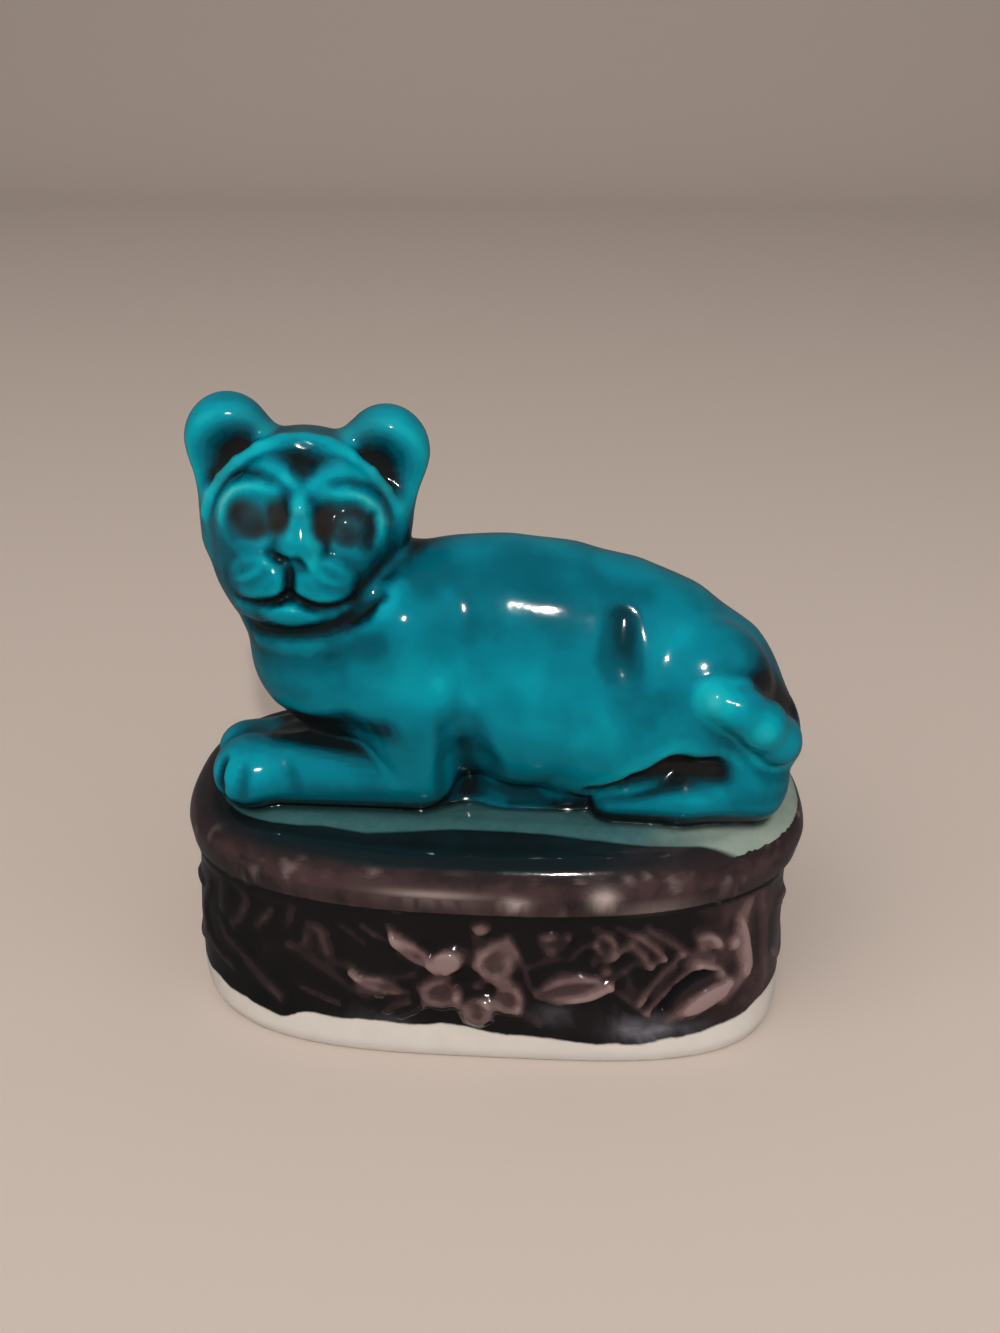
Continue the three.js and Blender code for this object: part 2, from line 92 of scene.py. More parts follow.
# ------------------------------------------------------------ shallow relief drawn on flat sheets
class Sheet:
    """heights in mm over (u, v); strokes and domes are drawn once and looked up smoothly"""
    def __init__(s,lo,hi,step):
        s.lo=np.array(lo,F); s.step=step
        s.n=[int(np.ceil((hi[i]-lo[i])/step))+1 for i in (0,1)]
        s.h=np.zeros(s.n,F)
        s.u=(lo[0]+step*np.arange(s.n[0])).astype(F); s.v=(lo[1]+step*np.arange(s.n[1])).astype(F)
    def window(s,pts,m):
        p=np.array(pts,float); a=p.min(0)-m; b=p.max(0)+m
        i=[int(np.clip((a[k]-s.lo[k])/s.step,0,s.n[k])) for k in (0,1)]
        j=[int(np.clip((b[k]-s.lo[k])/s.step+1,0,s.n[k])) for k in (0,1)]
        w=(slice(i[0],j[0]),slice(i[1],j[1]))
        return w,s.u[w[0]][:,None],s.v[w[1]][None,:]
    def put(s,w,x,how):
        if how=='over': s.h[w]=-smin(-s.h[w],-x,0.12)
        elif how=='cut': s.h[w]=s.h[w]+x
        else: s.h[w]=s.h[w]+x
    def stroke(s,pts,width,height,how='over'):
        """rounded ridge along a polyline; width and height may be lists, one value a point"""
        n=len(pts); W=[width]*n if np.isscalar(width) else width; A=[height]*n if np.isscalar(height) else height
        w,u,v=s.window(pts,2.2*max(W))
        best=np.full(np.broadcast(u,v).shape,1e9,F); wid=np.ones_like(best); hei=np.zeros_like(best)
        for k in range(n-1):
            (x0,y0),(x1,y1)=pts[k],pts[k+1]
            dx,dy=x1-x0,y1-y0
            t=np.clip(((u-x0)*dx+(v-y0)*dy)/(dx*dx+dy*dy+1e-9),0,1)
            ww=W[k]+(W[k+1]-W[k])*t
            d=np.hypot(u-x0-dx*t,v-y0-dy*t)/ww
            b=d<best
            best=np.where(b,d,best); hei=np.where(b,A[k]+(A[k+1]-A[k])*t,hei)
        p=np.maximum(1-(best/2.0)**2,0); s.put(w,(hei*p*p).astype(F),how)
    def dome(s,c,r,height,turn=0,how='over',soft=1.0,power=1.0):
        """rounded boss; soft 1 is a full dome, small values give a flat top with a soft edge"""
        m=max(r)*1.05; w,u,v=s.window([(c[0]-m,c[1]-m),(c[0]+m,c[1]+m)],0.1)
        a=np.radians(turn); x=(u-c[0])*np.cos(a)+(v-c[1])*np.sin(a); y=-(u-c[0])*np.sin(a)+(v-c[1])*np.cos(a)
        t=np.sqrt((x/r[0])**2+(y/r[1])**2)
        q=np.clip((1-t)/soft,0,1); q=q*(2-q) if soft>=1 else q*q*(3-2*q)
        s.put(w,(height*q**power).astype(F),how)
    def look(s,u,v):
        x=np.clip((u-s.lo[0])/s.step,0,s.n[0]-1.001).astype(F); y=np.clip((v-s.lo[1])/s.step,0,s.n[1]-1.001).astype(F)
        i=x.astype(np.int32); j=y.astype(np.int32); x-=i; y-=j; h=s.h
        return (h[i,j]*(1-x)+h[i+1,j]*x)*(1-y)+(h[i,j+1]*(1-x)+h[i+1,j+1]*x)*y
    def smooth(s,times=2):
        for _ in range(times):
            h=s.h; g=h.copy(); g[1:-1]=(h[:-2]+2*h[1:-1]+h[2:])/4; k=g.copy(); k[:,1:-1]=(g[:,:-2]+2*g[:,1:-1]+g[:,2:])/4; s.h=k
# ------------------------------------------------------------ base
BASE_TOP=26.4
ZS =[0.0, 1.2, 4.0,10.0,18.6,19.3,19.9,22.4,26.4,30.0]
AL =[34.9,35.6,36.3,36.3,35.7,35.6,36.0,36.2,35.9,35.9]
AR =[33.9,34.4,35.0,34.9,34.7,34.7,35.5,36.0,35.7,35.7]
BS =[20.2,20.3,19.9,19.3,18.3,18.2,18.85,19.15,18.85,18.85]
NL =[3.2,3.2,3.2,3.0,2.7,2.65,2.6,2.6,2.6,2.6]
NR =[3.7,3.6,3.3,3.0,2.6,2.5,2.45,2.45,2.45,2.45]
def plan(P):
    z=P[:,2]; x=P[:,0]; y=P[:,1]
    l=x<0
    t=lambda v: np.interp(z,ZS,v).astype(F)
    a=np.where(l,t(AL),t(AR)); b=t(BS); n=np.where(l,t(NL),t(NR))
    ax=np.abs(x)/a; ay=np.abs(y)/b
    s=(ax**n+ay**n+F(1e-12))**(1/n)
    sm=np.maximum(s,F(1e-6))
    gx=(ax/sm)**(n-1)/a; gy=(ay/sm)**(n-1)/b
    return (s-1)/(np.sqrt(gx*gx+gy*gy)+F(1e-9))

# the wall runs round the foot: s is measured along it from the front centre, + to the haunch end
_t=np.linspace(-np.pi*1.5,np.pi*0.5,4001)
_r=(np.abs(np.cos(_t)/35.6)**2.85+np.abs(np.sin(_t)/19.2)**2.85)**(-1/2.85)
_x,_y=_r*np.cos(_t),_r*np.sin(_t)
_s=np.concatenate([[0],np.cumsum(np.hypot(np.diff(_x),np.diff(_y)))]); _s-=np.interp(-np.pi/2,_t,_s)
ROUND=float(_s[-1]-_s[0])
def along(x,y):
    t=np.arctan2(y,x); t=np.where(t>np.pi/2,t-2*np.pi,t)
    return np.interp(t,_t,_s).astype(F)
WALL=Sheet((_s[0]-0.5,0),(_s[-1]+0.5,22),0.06)
FRONT=[
    ('stroke',[(-35.3,15.8),(-36.2,13.0),(-35.5,10.9),(-33.9,9.0),(-31.7,8.3),(-29.6,7.6)],0.34,0.55),
    ('stroke',[(-32.2,12.5),(-30.7,11.0),(-28.4,10.0),(-26.6,8.6),(-25.0,7.3),(-23.0,5.9)],[.35,.45,.45,.45,.5,.5],[.4,.5,.55,.55,.65,.75]),
    ('stroke',[(-32.5,17.9),(-32.2,14.6)],0.45,0.35),('stroke',[(-29.9,18.8),(-28.7,17.1),(-29.2,14.8),(-30.2,13.2)],0.42,0.5),
    ('stroke',[(-26.8,14.4),(-25.5,16.6)],0.38,0.5),('stroke',[(-22.9,18.1),(-23.2,15.4)],0.47,0.3),
    ('stroke',[(-20.8,13.5),(-20.7,16.0),(-19.2,15.8),(-18.3,14.0),(-17.5,11.9),(-15.5,11.4)],0.47,0.38),
    ('stroke',[(-25.4,12.0),(-23.5,12.4),(-21.6,13.4)],0.38,0.32),
    ('stroke',[(-22.6,13.2),(-20.4,11.9),(-17.9,10.6),(-15.5,9.0),(-13.2,7.6)],0.42,0.42),
    ('stroke',[(-20.7,7.7),(-18.3,7.0),(-16.3,6.3)],0.24,0.6),('stroke',[(-14.4,16.8),(-12.9,15.8),(-11.4,15.3)],0.24,0.5),
    ('stroke',[(-17.4,16.9),(-15.5,15.7),(-14.0,14.6)],0.28,0.32),
    ('pad',(-8.3,14.4),(3.6,1.25),0.4,-38),('pad',(-11.6,9.6),(3.3,1.0),0.4,-14),('pad',(24.0,7.6),(4.2,1.2),0.45,24),('pad',(25.5,14.7),(2.0,1.4),0.35,-20),('pad',(7.6,15.9),(2.2,1.7),0.3,0),('pad',(13.4,15.9),(1.6,1.8),0.3,0),('pad',(29.9,12.6),(1.2,5.2),0.35,0),('pad',(18.0,14.9),(3.2,2.4),0.2,-30),('pad',(-19.0,14.2),(2.6,2.6),0.15,0),('stroke',[(-11.3,17.2),(-10.1,15.8),(-8.6,15.0),(-6.7,14.2)],[.3,.5,.5,.3],[.6,.8,.75,.5]),
    ('stroke',[(-10.9,16.3),(-9.4,13.9),(-7.6,12.8),(-5.4,11.8)],[.3,.5,.5,.3],[.5,.6,.6,.4]),
    ('stroke',[(-14.9,10.9),(-13.7,9.2),(-11.9,8.4),(-8.6,8.6)],[.35,.5,.5,.3],[.8,.8,.8,.6]),
    ('stroke',[(-14.7,10.8),(-12.6,10.3),(-10.1,10.4),(-8.2,11.1)],0.42,0.5),
    ('stroke',[(-11.0,5.9),(-10.2,6.8),(-8.5,7.4)],[.35,.55,.35],0.75),('stroke',[(-9.5,5.2),(-8.1,6.0),(-6.7,7.2)],0.28,0.6),
    ('dome',(-4.0,13.5),(2.4,2.0),1.0,20),('pad',(-4.6,13.2),(2.3,1.9),0.45,20),('stroke',[(-6.6,13.6),(-5.6,11.9)],0.33,0.55),
    ('stroke',[(-1.1,12.8),(-0.7,14.4),(0.6,15.6),(1.9,15.8),(2.8,14.7),(2.9,12.8),(2.2,11.3),(0.2,11.0),(-1.1,12.8)],0.42,0.9),
    ('pad',(0.9,13.3),(2.2,2.5),0.5,0),
    ('stroke',[(-4.3,11.3),(-6.0,10.7),(-7.2,9.4),(-6.8,7.9),(-5.0,7.2),(-3.3,7.7),(-2.9,9.5)],0.45,0.85),
    ('pad',(-5.0,9.1),(2.4,2.1),0.5,15),
    ('stroke',[(-2.9,8.7),(-2.7,7.1),(-2.0,5.4),(-0.8,4.8),(0.4,5.7),(0.6,7.4),(-0.2,8.4)],0.42,0.8),
    ('pad',(-0.9,6.9),(1.9,2.2),0.6,0),
    ('pad',(2.4,8.6),(1.9,2.1),0.5,0),('stroke',[(1.3,10.3),(2.8,10.6),(3.7,9.6),(4.1,8.1),(3.1,6.8),(1.8,6.9),(0.7,8.2)],0.42,0.85),
    ('dome',(-0.9,10.0),(1.1,1.0),0.45,0),('dome',(-0.6,17.6),(1.5,1.05),0.85,0),
    ('stroke',[(-0.9,16.5),(-1.1,14.7),(-1.3,12.8)],0.4,0.35),
    ('stroke',[(2.4,16.6),(3.2,15.4),(3.9,13.6),(4.4,11.8),(5.0,9.8)],0.28,0.7),
    ('dome',(7.1,16.7),(1.7,0.95),0.6,10),('dome',(7.3,15.0),(1.2,1.1),0.6,0),('dome',(9.2,16.7),(0.95,1.05),0.55,0),
    ('stroke',[(9.8,14.4),(11.0,15.4),(12.1,15.9)],0.3,0.55),
    ('stroke',[(12.6,17.6),(14.1,16.7),(14.7,15.4),(14.1,14.2)],0.52,0.6),('stroke',[(12.3,15.5),(12.8,14.2),(12.0,13.2)],0.42,0.5),
    ('stroke',[(5.5,8.9),(8.1,8.3),(11.2,9.3),(13.3,10.6),(14.6,12.0)],[.35,.5,.5,.5,.35],[.7,.9,.9,.9,.6]),
    ('stroke',[(5.5,9.5),(6.8,10.9),(8.4,11.7),(10.4,11.9),(12.1,11.5)],[.3,.42,.45,.45,.35],[.6,.75,.8,.8,.6]),
    ('pad',(9.9,10.2),(4.7,2.0),0.5,8),('dome',(13.3,12.3),(1.3,0.95),0.65,30),
    ('stroke',[(4.7,12.6),(6.5,13.4),(8.2,14.0),(9.9,13.7)],0.32,0.42),
    ('stroke',[(3.6,7.1),(5.0,6.1),(5.9,5.3)],[.45,.66,.45],0.6),
    ('stroke',[(15.0,17.8),(17.4,16.5),(19.0,15.0),(19.9,13.7)],0.36,0.6),
    ('stroke',[(13.4,13.6),(15.0,14.8),(16.4,15.5),(17.7,14.1),(18.2,12.6)],0.36,0.6),
    ('stroke',[(18.7,17.3),(21.3,15.2),(23.8,12.6),(26.1,10.4)],0.4,0.6),
    ('stroke',[(15.3,12.3),(16.7,13.0),(18.2,12.6),(19.9,13.5)],0.33,0.5),
    ('stroke',[(16.8,8.0),(18.5,10.3),(20.2,12.1),(22.0,13.6)],0.3,0.65),('stroke',[(18.5,8.9),(19.9,10.6),(21.4,12.2)],0.22,0.4),
    ('stroke',[(17.4,6.6),(19.2,8.6),(21.2,10.3),(23.5,11.7)],0.3,0.65),
    ('stroke',[(15.7,11.5),(15.9,9.9),(16.8,8.6)],0.56,0.45),('stroke',[(13.4,10.7),(14.9,9.1),(16.7,7.2),(18.2,5.7)],0.32,0.5),
    ('stroke',[(19.7,5.3),(22.2,6.3),(24.7,7.6),(27.1,8.8)],[.4,.7,.75,.5],[.6,.8,.8,.6]),
    ('stroke',[(22.6,12.3),(24.5,12.0),(26.3,11.0),(27.2,9.3)],0.36,0.65),
    ('groove',[(19.6,6.9),(21.3,9.2),(23.6,10.7),(25.8,10.6)],[.3,.55,.55,.35],-0.6),
    ('stroke',[(24.2,15.8),(25.8,15.5),(27.1,13.8)],0.45,0.6),('stroke',[(24.2,13.7),(25.8,12.4)],0.4,0.45),
    ('dome',(28.7,13.6),(1.1,1.15),0.7,0),
    ('stroke',[(31.8,17.8),(30.6,16.1),(30.4,12.9),(30.4,10.4),(28.6,8.5),(26.4,7.1)],[.5,.5,.5,.5,.6,.6],[.5,.5,.5,.55,.7,.6]),
    ('stroke',[(34.2,18.6),(33.8,13.2),(33.2,7.0)],0.5,0.3)]
def spray(at,flip=1):
    """a plain flower with two leaves and a bent stem, for the hidden sides"""
    o=[]
    q=lambda u,v: (at+flip*u,v)
    for k in range(5):
        a=np.radians(90+72*k); o.append(('dome',q(2.1*np.cos(a),10.6+2.1*np.sin(a)),(1.5,1.25),0.7,float(np.degrees(a)) if flip>0 else float(180-np.degrees(a))))
    o.append(('dome',q(0,10.6),(0.8,0.8),0.55,0))
    o.append(('stroke',[q(4.4,10.2),q(7.0,11.8),q(9.8,11.6),q(12.2,9.6)],[.3,.5,.5,.3],[.5,.75,.75,.5]))
    o.append(('stroke',[q(4.4,9.6),q(7.2,9.0),q(9.8,9.0),q(12.0,9.4)],[.3,.4,.4,.3],[.45,.6,.6,.4]))
    o.append(('stroke',[q(-3.6,12.4),q(-6.0,14.2),q(-8.8,14.6)],[.3,.5,.3],[.5,.7,.5]))
    o.append(('stroke',[q(-3.2,7.8),q(-6.0,6.6),q(-9.4,7.2),q(-11.6,9.6)],0.27,0.5))
    return o
def fret(at,flip=1):
    """one turn of a square key pattern"""
    q=lambda u,v: (at+flip*u,v)
    return [('stroke',[q(-2.6,6.6),q(-2.6,15.2),q(2.8,15.2),q(2.8,8.6),q(-0.2,8.6),q(-0.2,12.6)],0.36,0.5)]
def draw_wall():
    ops=list(FRONT)
    half=ROUND/2
    for at,fl in ((46.5,1),(-46.5,-1),(half-14,1),(-half+14,-1)): ops+=spray(at,fl)
    for at,fl in ((62.0,1),(-62.0,-1),(half-0.1,1)): ops+=fret(at,fl)
    for o in ops:
        if o[0]=='stroke': WALL.stroke(o[1],[1.25*k for k in o[2]] if isinstance(o[2],list) else 1.25*o[2],[0.62*k for k in o[3]] if isinstance(o[3],list) else 0.62*o[3],'add')
        elif o[0]=='groove': WALL.stroke(o[1],o[2],o[3],'cut')
        elif o[0]=='pad': WALL.dome(o[1],o[2],o[3],o[4],'add',0.4)
        else: WALL.dome(o[1],o[2],o[3],o[4])
    WALL.h=np.minimum(WALL.h,1.15)
    WALL.smooth(14)
draw_wall()
def base(P):
    z=P[:,2]
    f=np.maximum(np.maximum(np.abs(P[:,0])-37,np.abs(P[:,1])-21),z-28).astype(F)
    i=np.flatnonzero(z<30)
    if len(i):
        z=z[i]
        d=np.maximum(plan(P[i]),-8)
        dip=0.35*np.exp(-((d+4.2)/1.6)**2)
        j=np.flatnonzero((d>-2.0)&(d<3.5)&(z<20.5))
        if len(j):
            e=d[j]; zz=z[j]; p=P[i[j]]
            e-=(WALL.look(along(p[:,0],p[:,1]),zz)*1.05-0.38)*np.clip((zz-1.8)/2.4,0,1)*np.clip((18.9-zz)/1.3,0,1)
            d=d.copy(); d[j]=e
        g=smax(d,z-(BASE_TOP-dip),4.4)
        f[i]=smax(g,-z,0.5)
    return f
# ------------------------------------------------------------ cat
HC=np.array([-20.0,-2.0,57.0]); HR=rotm(6,8,5)
def head_local(P): return (P-HC.astype(F))@HR.T.astype(F)
def E(c,r,rot=None): return Ell(c,r,rot)
def CH(pts,k=1.0,ys=1.0): return Chain(pts,k,ys)
HEAD=[]; FACE=[]
def build_head():
    H=[('+',E((0.1,0.6,-1.6),(10.2,9.9,8.6)),1),('+',E((0.3,-3.9,1.2),(9.2,7.3,7.6)),2.6)]
    for s in (-1,1):
        H.append(('+',E((s*8.1+(-0.1 if s<0 else -0.1),8.7+(0 if s<0 else -0.1),-2.4),(4.2,4.5,3.2),rotz(s*-4)),2.2))
        H.append(('+',CH([(s*8.2,8.0,-2.2,3.6),(s*8.2,-1.5,-2.0,2.4)]),2.6))
        H.append(('-',E((s*8.0,7.2,2.0),(3.2,2.6,2.5),rotz(s*-42)),2.8))
    H.append(('+',E((0,0.6,1.0),(9.6,8.6,7.8)),0.7))
    rim=[(-10.0,1.2,1.0),(-9.5,3.2,1.3),(-8.5,5.2,1.4),(-6.9,7.0,1.4),(-4.8,8.4,1.5),(-2.4,9.2,1.5),(0,9.4,1.5),(2.4,9.1,1.5),(4.8,8.2,1.4),(6.9,6.8,1.3),(8.5,5.0,1.1),(9.4,3.0,0.9)]
    H.append(('+',CH([(p[0],p[1],p[2],0.3+0.22*(1-abs(i-5.5)/5.5)) for i,p in enumerate(rim)],0.4),1.3))
    return H
def build_body():
    f=[]
    A=lambda g,k: f.append(('+',g,k)); C=lambda g,k: f.append(('-',g,k))
    A(CH([(-10,0,46.6,7.8),(-3,0,47.2,7.6),(1.5,0,47.5,7.5),(7,0,47.0,7.4),(13,-0.1,45.4,7.4),(18,-0.1,43.2,7.4),(23.0,-0.2,39.6,7.2),(28.6,-0.3,33.2,5.4)],2.0),1)   # spine
    A(CH([(-6,0,36.0,8.2),(4,0,36.4,8.8),(13,0,36.0,8.6),(21,0,33.6,7.0)],2.0,0.77),9.0)        # belly, wide and low
    A(CH([(-20.2,-1.0,52,8.8),(-15.6,0,42,10.4)]),4.0)                # neck
    A(E((-15.8,-1.2,42.2),(11.0,10.0,8.0)),1.6)                       # chest
    A(E((3,0.2,27.0),(25,8.3,5.2)),0.8)                               # bed under the trunk
    A(E((-17,-3.0,28.8),(11,5.6,5.4)),0.8)                            # web between the forelegs
    C(CH([(-27.0,-5.2,34.6,0.9),(-21.0,-8.7,36.1,1.2),(-15.0,-11.6,37.7,1.0),(-10.0,-13.8,39.3,0.6)]),2.4)
    A(CH([(-9.4,-6.2,48.0,5.2),(-8.4,-7.6,40,4.9),(-8.0,-7.6,31.6,4.5)],1.0),3.0)      # upper arm
    C(CH([(-3.6,-13.4,42.0,0.5),(-2.9,-12.8,38.5,1.2),(-2.2,-11.6,33.5,2.1),(-2.3,-9.4,28,2.5)]),2.2)
    A(CH([(-8.6,-7.1,30.9,4.6),(-24,-7.4,30.4,4.0)]),0.8)             # forearm
    A(E((-26.6,-7.6,30.1),(4.6,4.6,4.0)),0.5)                         # paw
    A(CH([(-8,4,30.6,4.2),(-26.5,-1.2,29.4,3.0)]),0.6)
    A(E((-28.4,-1.8,29.2),(3.8,3.3,3.3)),0.8)
    C(CH([(-26.7,-10.9,33.7,0.35),(-26.9,-12.5,30.9,0.55),(-27.2,-12.5,28.0,0.4)],0.3),0.7)
    C(CH([(-29.2,-9.8,32.8,0.3),(-29.7,-10.9,30.4,0.5),(-29.8,-10.6,28.0,0.4)],0.3),0.7)
    C(CH([(-22.2,-10.4,34.4,0.3),(-21.4,-12.1,31.2,0.5),(-21.0,-12.0,28.4,0.4)],0.3),1.0)
    for s,h in ((-1,1.0),(1,0.86)):
        A(E((21.2,s*4.9,38.8 if s<0 else 37.8),(8.6*h,6.9,10.2*h),roty(24)),1.0)       # thigh
        A(CH([(23.5,s*5.8,35.0,5.0),(28.2,s*6.8,31.2,4.4)]),1.6)      # hock
        C(CH([(13.6,s*7.75,50.2,0.5),(13.4,s*10.5,46.7,1.1),(14.6,s*12.6,42.7,1.4),(16.8,s*13.4,38.9,1.3)],1.0),2.4)
        A(CH([(13.6,s*7.6,40.2,2.6),(15.6,s*8.2,37.4,2.9),(14.0,s*8.0,34.8,2.8),(11.2,s*7.4,32.4,2.2),(8.6,s*6.6,29.8,1.5)],2.0),3.2)   # knee
        C(CH([(11.2,s*10.4,30.6,0.4),(15.8,s*11.0,32.9,0.9),(19.6,s*10.6,34.0,1.7),(23.6,s*11.2,34.0,1.3),(26.0,s*12.0,33.6,0.6)],1.0),1.6)
        A(CH([(28.4,s*7.2,29.7,3.9),(21,s*8.0,29.1,3.3),(13.5,s*7.9,28.2,2.6)]),0.6)   # foot
    C(CH([(25.6,-10.8,46.0,0.5),(29.0,-9.6,43.6,1.2),(31.9,-6.4,40.2,1.5),(33.9,-2.6,36.6,1.2)]),1.2)
    A(CH([(31.2,2.5,32.6,2.6),(31.2,-4.7,34.1,2.6),(30.2,-8.2,36.7,2.7),(28.2,-9.9,39.6,2.6),(25.7,-10.6,41.7,2.4),(23.2,-10.6,42.7,2.0)],0.8),1.2)  # tail
    return f

# ------------------------------------------------------------ face, drawn on the front of the head
MASK_SHEET=Sheet((-13,-13),(13,13),0.05)
def draw_face():
    m=MASK_SHEET; S=m.stroke; D=m.dome
    # broad forms
    D((0.2,8.3),(3.4,2.0),-0.35,0,'add')                                  # forehead hollow
    D((-4.4,-0.7),(2.8,1.5),0.3,0,'add'); D((5.3,-1.4),(2.8,2.2),0.3,0,'add')
    # eye sockets: a wide oval and an inner lobe towards the nose
    for c,r,t,c2,r2,t2 in (((-4.8,2.4),(3.1,2.35),-8,(-2.1,3.0),(1.9,2.2),10),((5.2,2.4),(2.85,2.5),-12,(3.0,2.8),(2.1,2.4),-18)):
        k=Sheet((-13,-13),(13,13),0.05); k.dome(c,(r[0]*1.08,r[1]*1.1),-1.0,t,'add',0.6); k2=Sheet((-13,-13),(13,13),0.05); k2.dome(c2,(r2[0]*1.1,r2[1]*1.1),-1.0,t2,'add',0.7)
        m.h+=np.maximum(smin(k.h,k2.h,0.6),-1.05)
    D((-4.95,2.75),(2.3,2.0),0.75,0,'add',1.0,0.9); D((5.5,2.5),(2.0,1.9),0.95,0,'add',1.0,0.9)
    S([(7.3,2.9),(7.5,1.4),(6.8,0.2)],0.5,-0.35,'cut')
    # upper lids and the brow
    S([(-8.0,1.6),(-7.8,3.2),(-6.8,4.8),(-5.3,5.5),(-3.8,5.6),(-2.6,5.3)],[.4,.5,.55,.6,.6,.4],[.2,.4,.5,.55,.5,.2],'add')
    S([(1.8,5.3),(3.3,5.5),(4.8,5.5),(6.3,5.0),(7.5,3.9),(8.2,2.3),(8.2,0.8)],[.4,.55,.6,.55,.5,.45,.35],[.25,.5,.6,.55,.45,.35,.1],'add')
    S([(0.3,4.4),(-0.8,6.0),(-2.0,7.0),(-3.4,7.5),(-5.2,7.2)],[.8,.75,.8,.9,.9],[.5,.55,.45,.25,.05],'add')
    S([(0.4,4.4),(1.5,6.0),(2.7,6.9),(4.1,7.3),(5.6,7.0),(7.2,5.9),(8.6,4.2)],[.8,.85,1.0,1.0,1.0,.8,.6],[.5,.6,.6,.55,.4,.3,.1],'add')
    S([(3.6,6.2),(5.1,6.3),(6.6,5.8),(8.0,4.7),(8.9,3.0)],0.42,[-.2,-.35,-.35,-.25,-.1],'cut')
    S([(-1.5,5.9),(-2.8,6.4),(-4.4,6.5),(-6.3,6.1),(-7.8,5.0),(-8.9,3.0)],0.42,[-.2,-.3,-.3,-.3,-.3,-.1],'cut')
    S([(0.0,9.2),(0.1,8.3),(0.2,7.5),(0.3,6.7)],[.5,.85,.95,.5],[-.2,-.55,-.75,-.35],'cut')
    # nose, muzzle and chin
    S([(0.3,4.9),(0.4,3.6),(0.5,2.2),(0.6,0.9),(0.6,0.1)],[.75,.85,1.15,1.6,1.65],[.45,.6,.9,1.35,1.3],'add')
    D((-3.6,-3.3),(3.5,3.0),1.25,12,'add'); D((2.9,-3.3),(3.4,3.0),1.25,-12,'add')
    D((-0.5,-7.2),(3.6,1.7),0.75,0,'add')
    S([(2.4,1.7),(3.1,0.8),(3.2,-0.1),(2.6,-0.9)],0.34,[-.3,-.5,-.5,-.3],'cut')
    S([(-1.9,1.0),(-2.5,0.1),(-2.7,-0.6)],0.34,[-.1,-.3,-.2],'cut')
    S([(-2.8,-0.5),(-1.8,-1.0),(-0.9,-1.0)],[.25,.4,.35],[-.5,-.9,-.8],'cut'); S([(0.3,-0.8),(0.8,-1.5),(1.5,-2.4)],[.4,.42,.25],[-.9,-.85,-.4],'cut')
    D((-0.4,-1.7),(1.9,1.1),-0.45,0,'add')
    S([(-6.4,-3.5),(-5.3,-2.7),(-4.0,-1.8)],[.2,.42,.25],[-.3,-.5,-.3],'cut'); S([(-6.0,-4.5),(-4.5,-4.0),(-3.2,-2.9),(-2.4,-1.9)],[.25,.42,.35,.2],[-.4,-.55,-.4,-.2],'cut')
    S([(2.7,-1.6),(3.7,-2.2),(4.9,-2.8)],[.2,.38,.25],[-.3,-.45,-.3],'cut'); S([(2.1,-3.0),(3.3,-3.7),(4.7,-4.1)],[.2,.42,.25],[-.3,-.5,-.35],'cut')
    S([(-0.6,-1.9),(-0.6,-3.4),(-0.7,-4.9)],[.3,.4,.5],[-.5,-.8,-1.0],'cut')
    S([(-5.6,-6.4),(-3.3,-5.9),(-1.8,-5.5),(-0.7,-5.0),(0.6,-5.3),(2.0,-6.0),(3.4,-6.1),(5.1,-5.4)],[.35,.5,.5,.55,.5,.6,.6,.35],[-.4,-.85,-.9,-1.0,-.8,-1.0,-1.1,-.4],'cut')
    m.smooth(44)
draw_face()

JAW_LINE=[(-5.4,-9.9,3.2),(-3.3,-10.0,5.2),(-1.1,-9.9,6.3),(1.0,-9.5,7.0),(3.0,-8.9,7.1),(5.0,-8.0,6.9),(7.0,-6.5,6.8),(8.6,-4.9,6.4)]
COLLAR_LINE=[(-5.6,-11.0,2.6),(-3.8,-11.3,4.0),(-1.2,-11.0,5.9),(1.5,-10.5,6.8),(4.0,-9.7,6.9),(6.6,-8.2,6.9),(8.7,-5.9,6.9),(10.0,-4.2,6.0)]
COLLAR=[('-',CH([(u,v,w+0.35,0.45) for u,v,w in JAW_LINE],0.3),1.3),('+',CH([(u,v,w-0.45,0.4) for u,v,w in COLLAR_LINE[1:]],0.3),1.4)]
BODY=build_body(); HEAD=build_head()
def run(f,P,ops):
    for o,g,k in ops:
        if o=='+': add(f,P,g,k)
        else: cut(f,P,g,k)
def head(P):
    Q=head_local(P); f=np.full(len(P),30,F)
    run(f,Q,HEAD)
    i=np.flatnonzero((Q[:,2]>0.0)&(np.abs(Q[:,0])<12.5)&(np.abs(Q[:,1])<12.5)&(f<4)&(f>-4))
    if len(i):
        q=Q[i]; f[i]-=MASK_SHEET.look(q[:,0],q[:,1])*np.clip((q[:,2]-1.2)/2.0,0,1)
    return f
def cat(P):
    f=np.full(len(P),30,F)
    run(f,P,BODY)
    i=np.flatnonzero(((P-HC.astype(F))**2).sum(1)<20.0**2)
    if len(i):
        g=smin(f[i],head(P[i]),0.8); run(g,head_local(P[i]),COLLAR); f[i]=g
    return smax(f,25.5-P[:,2],0.3)
def field(P):
    P=np.ascontiguousarray(P,F)
    b=base(P)
    i=np.flatnonzero(P[:,2]>24.5)
    if len(i): b[i]=smin(b[i],cat(P[i]),0.8)
    return b
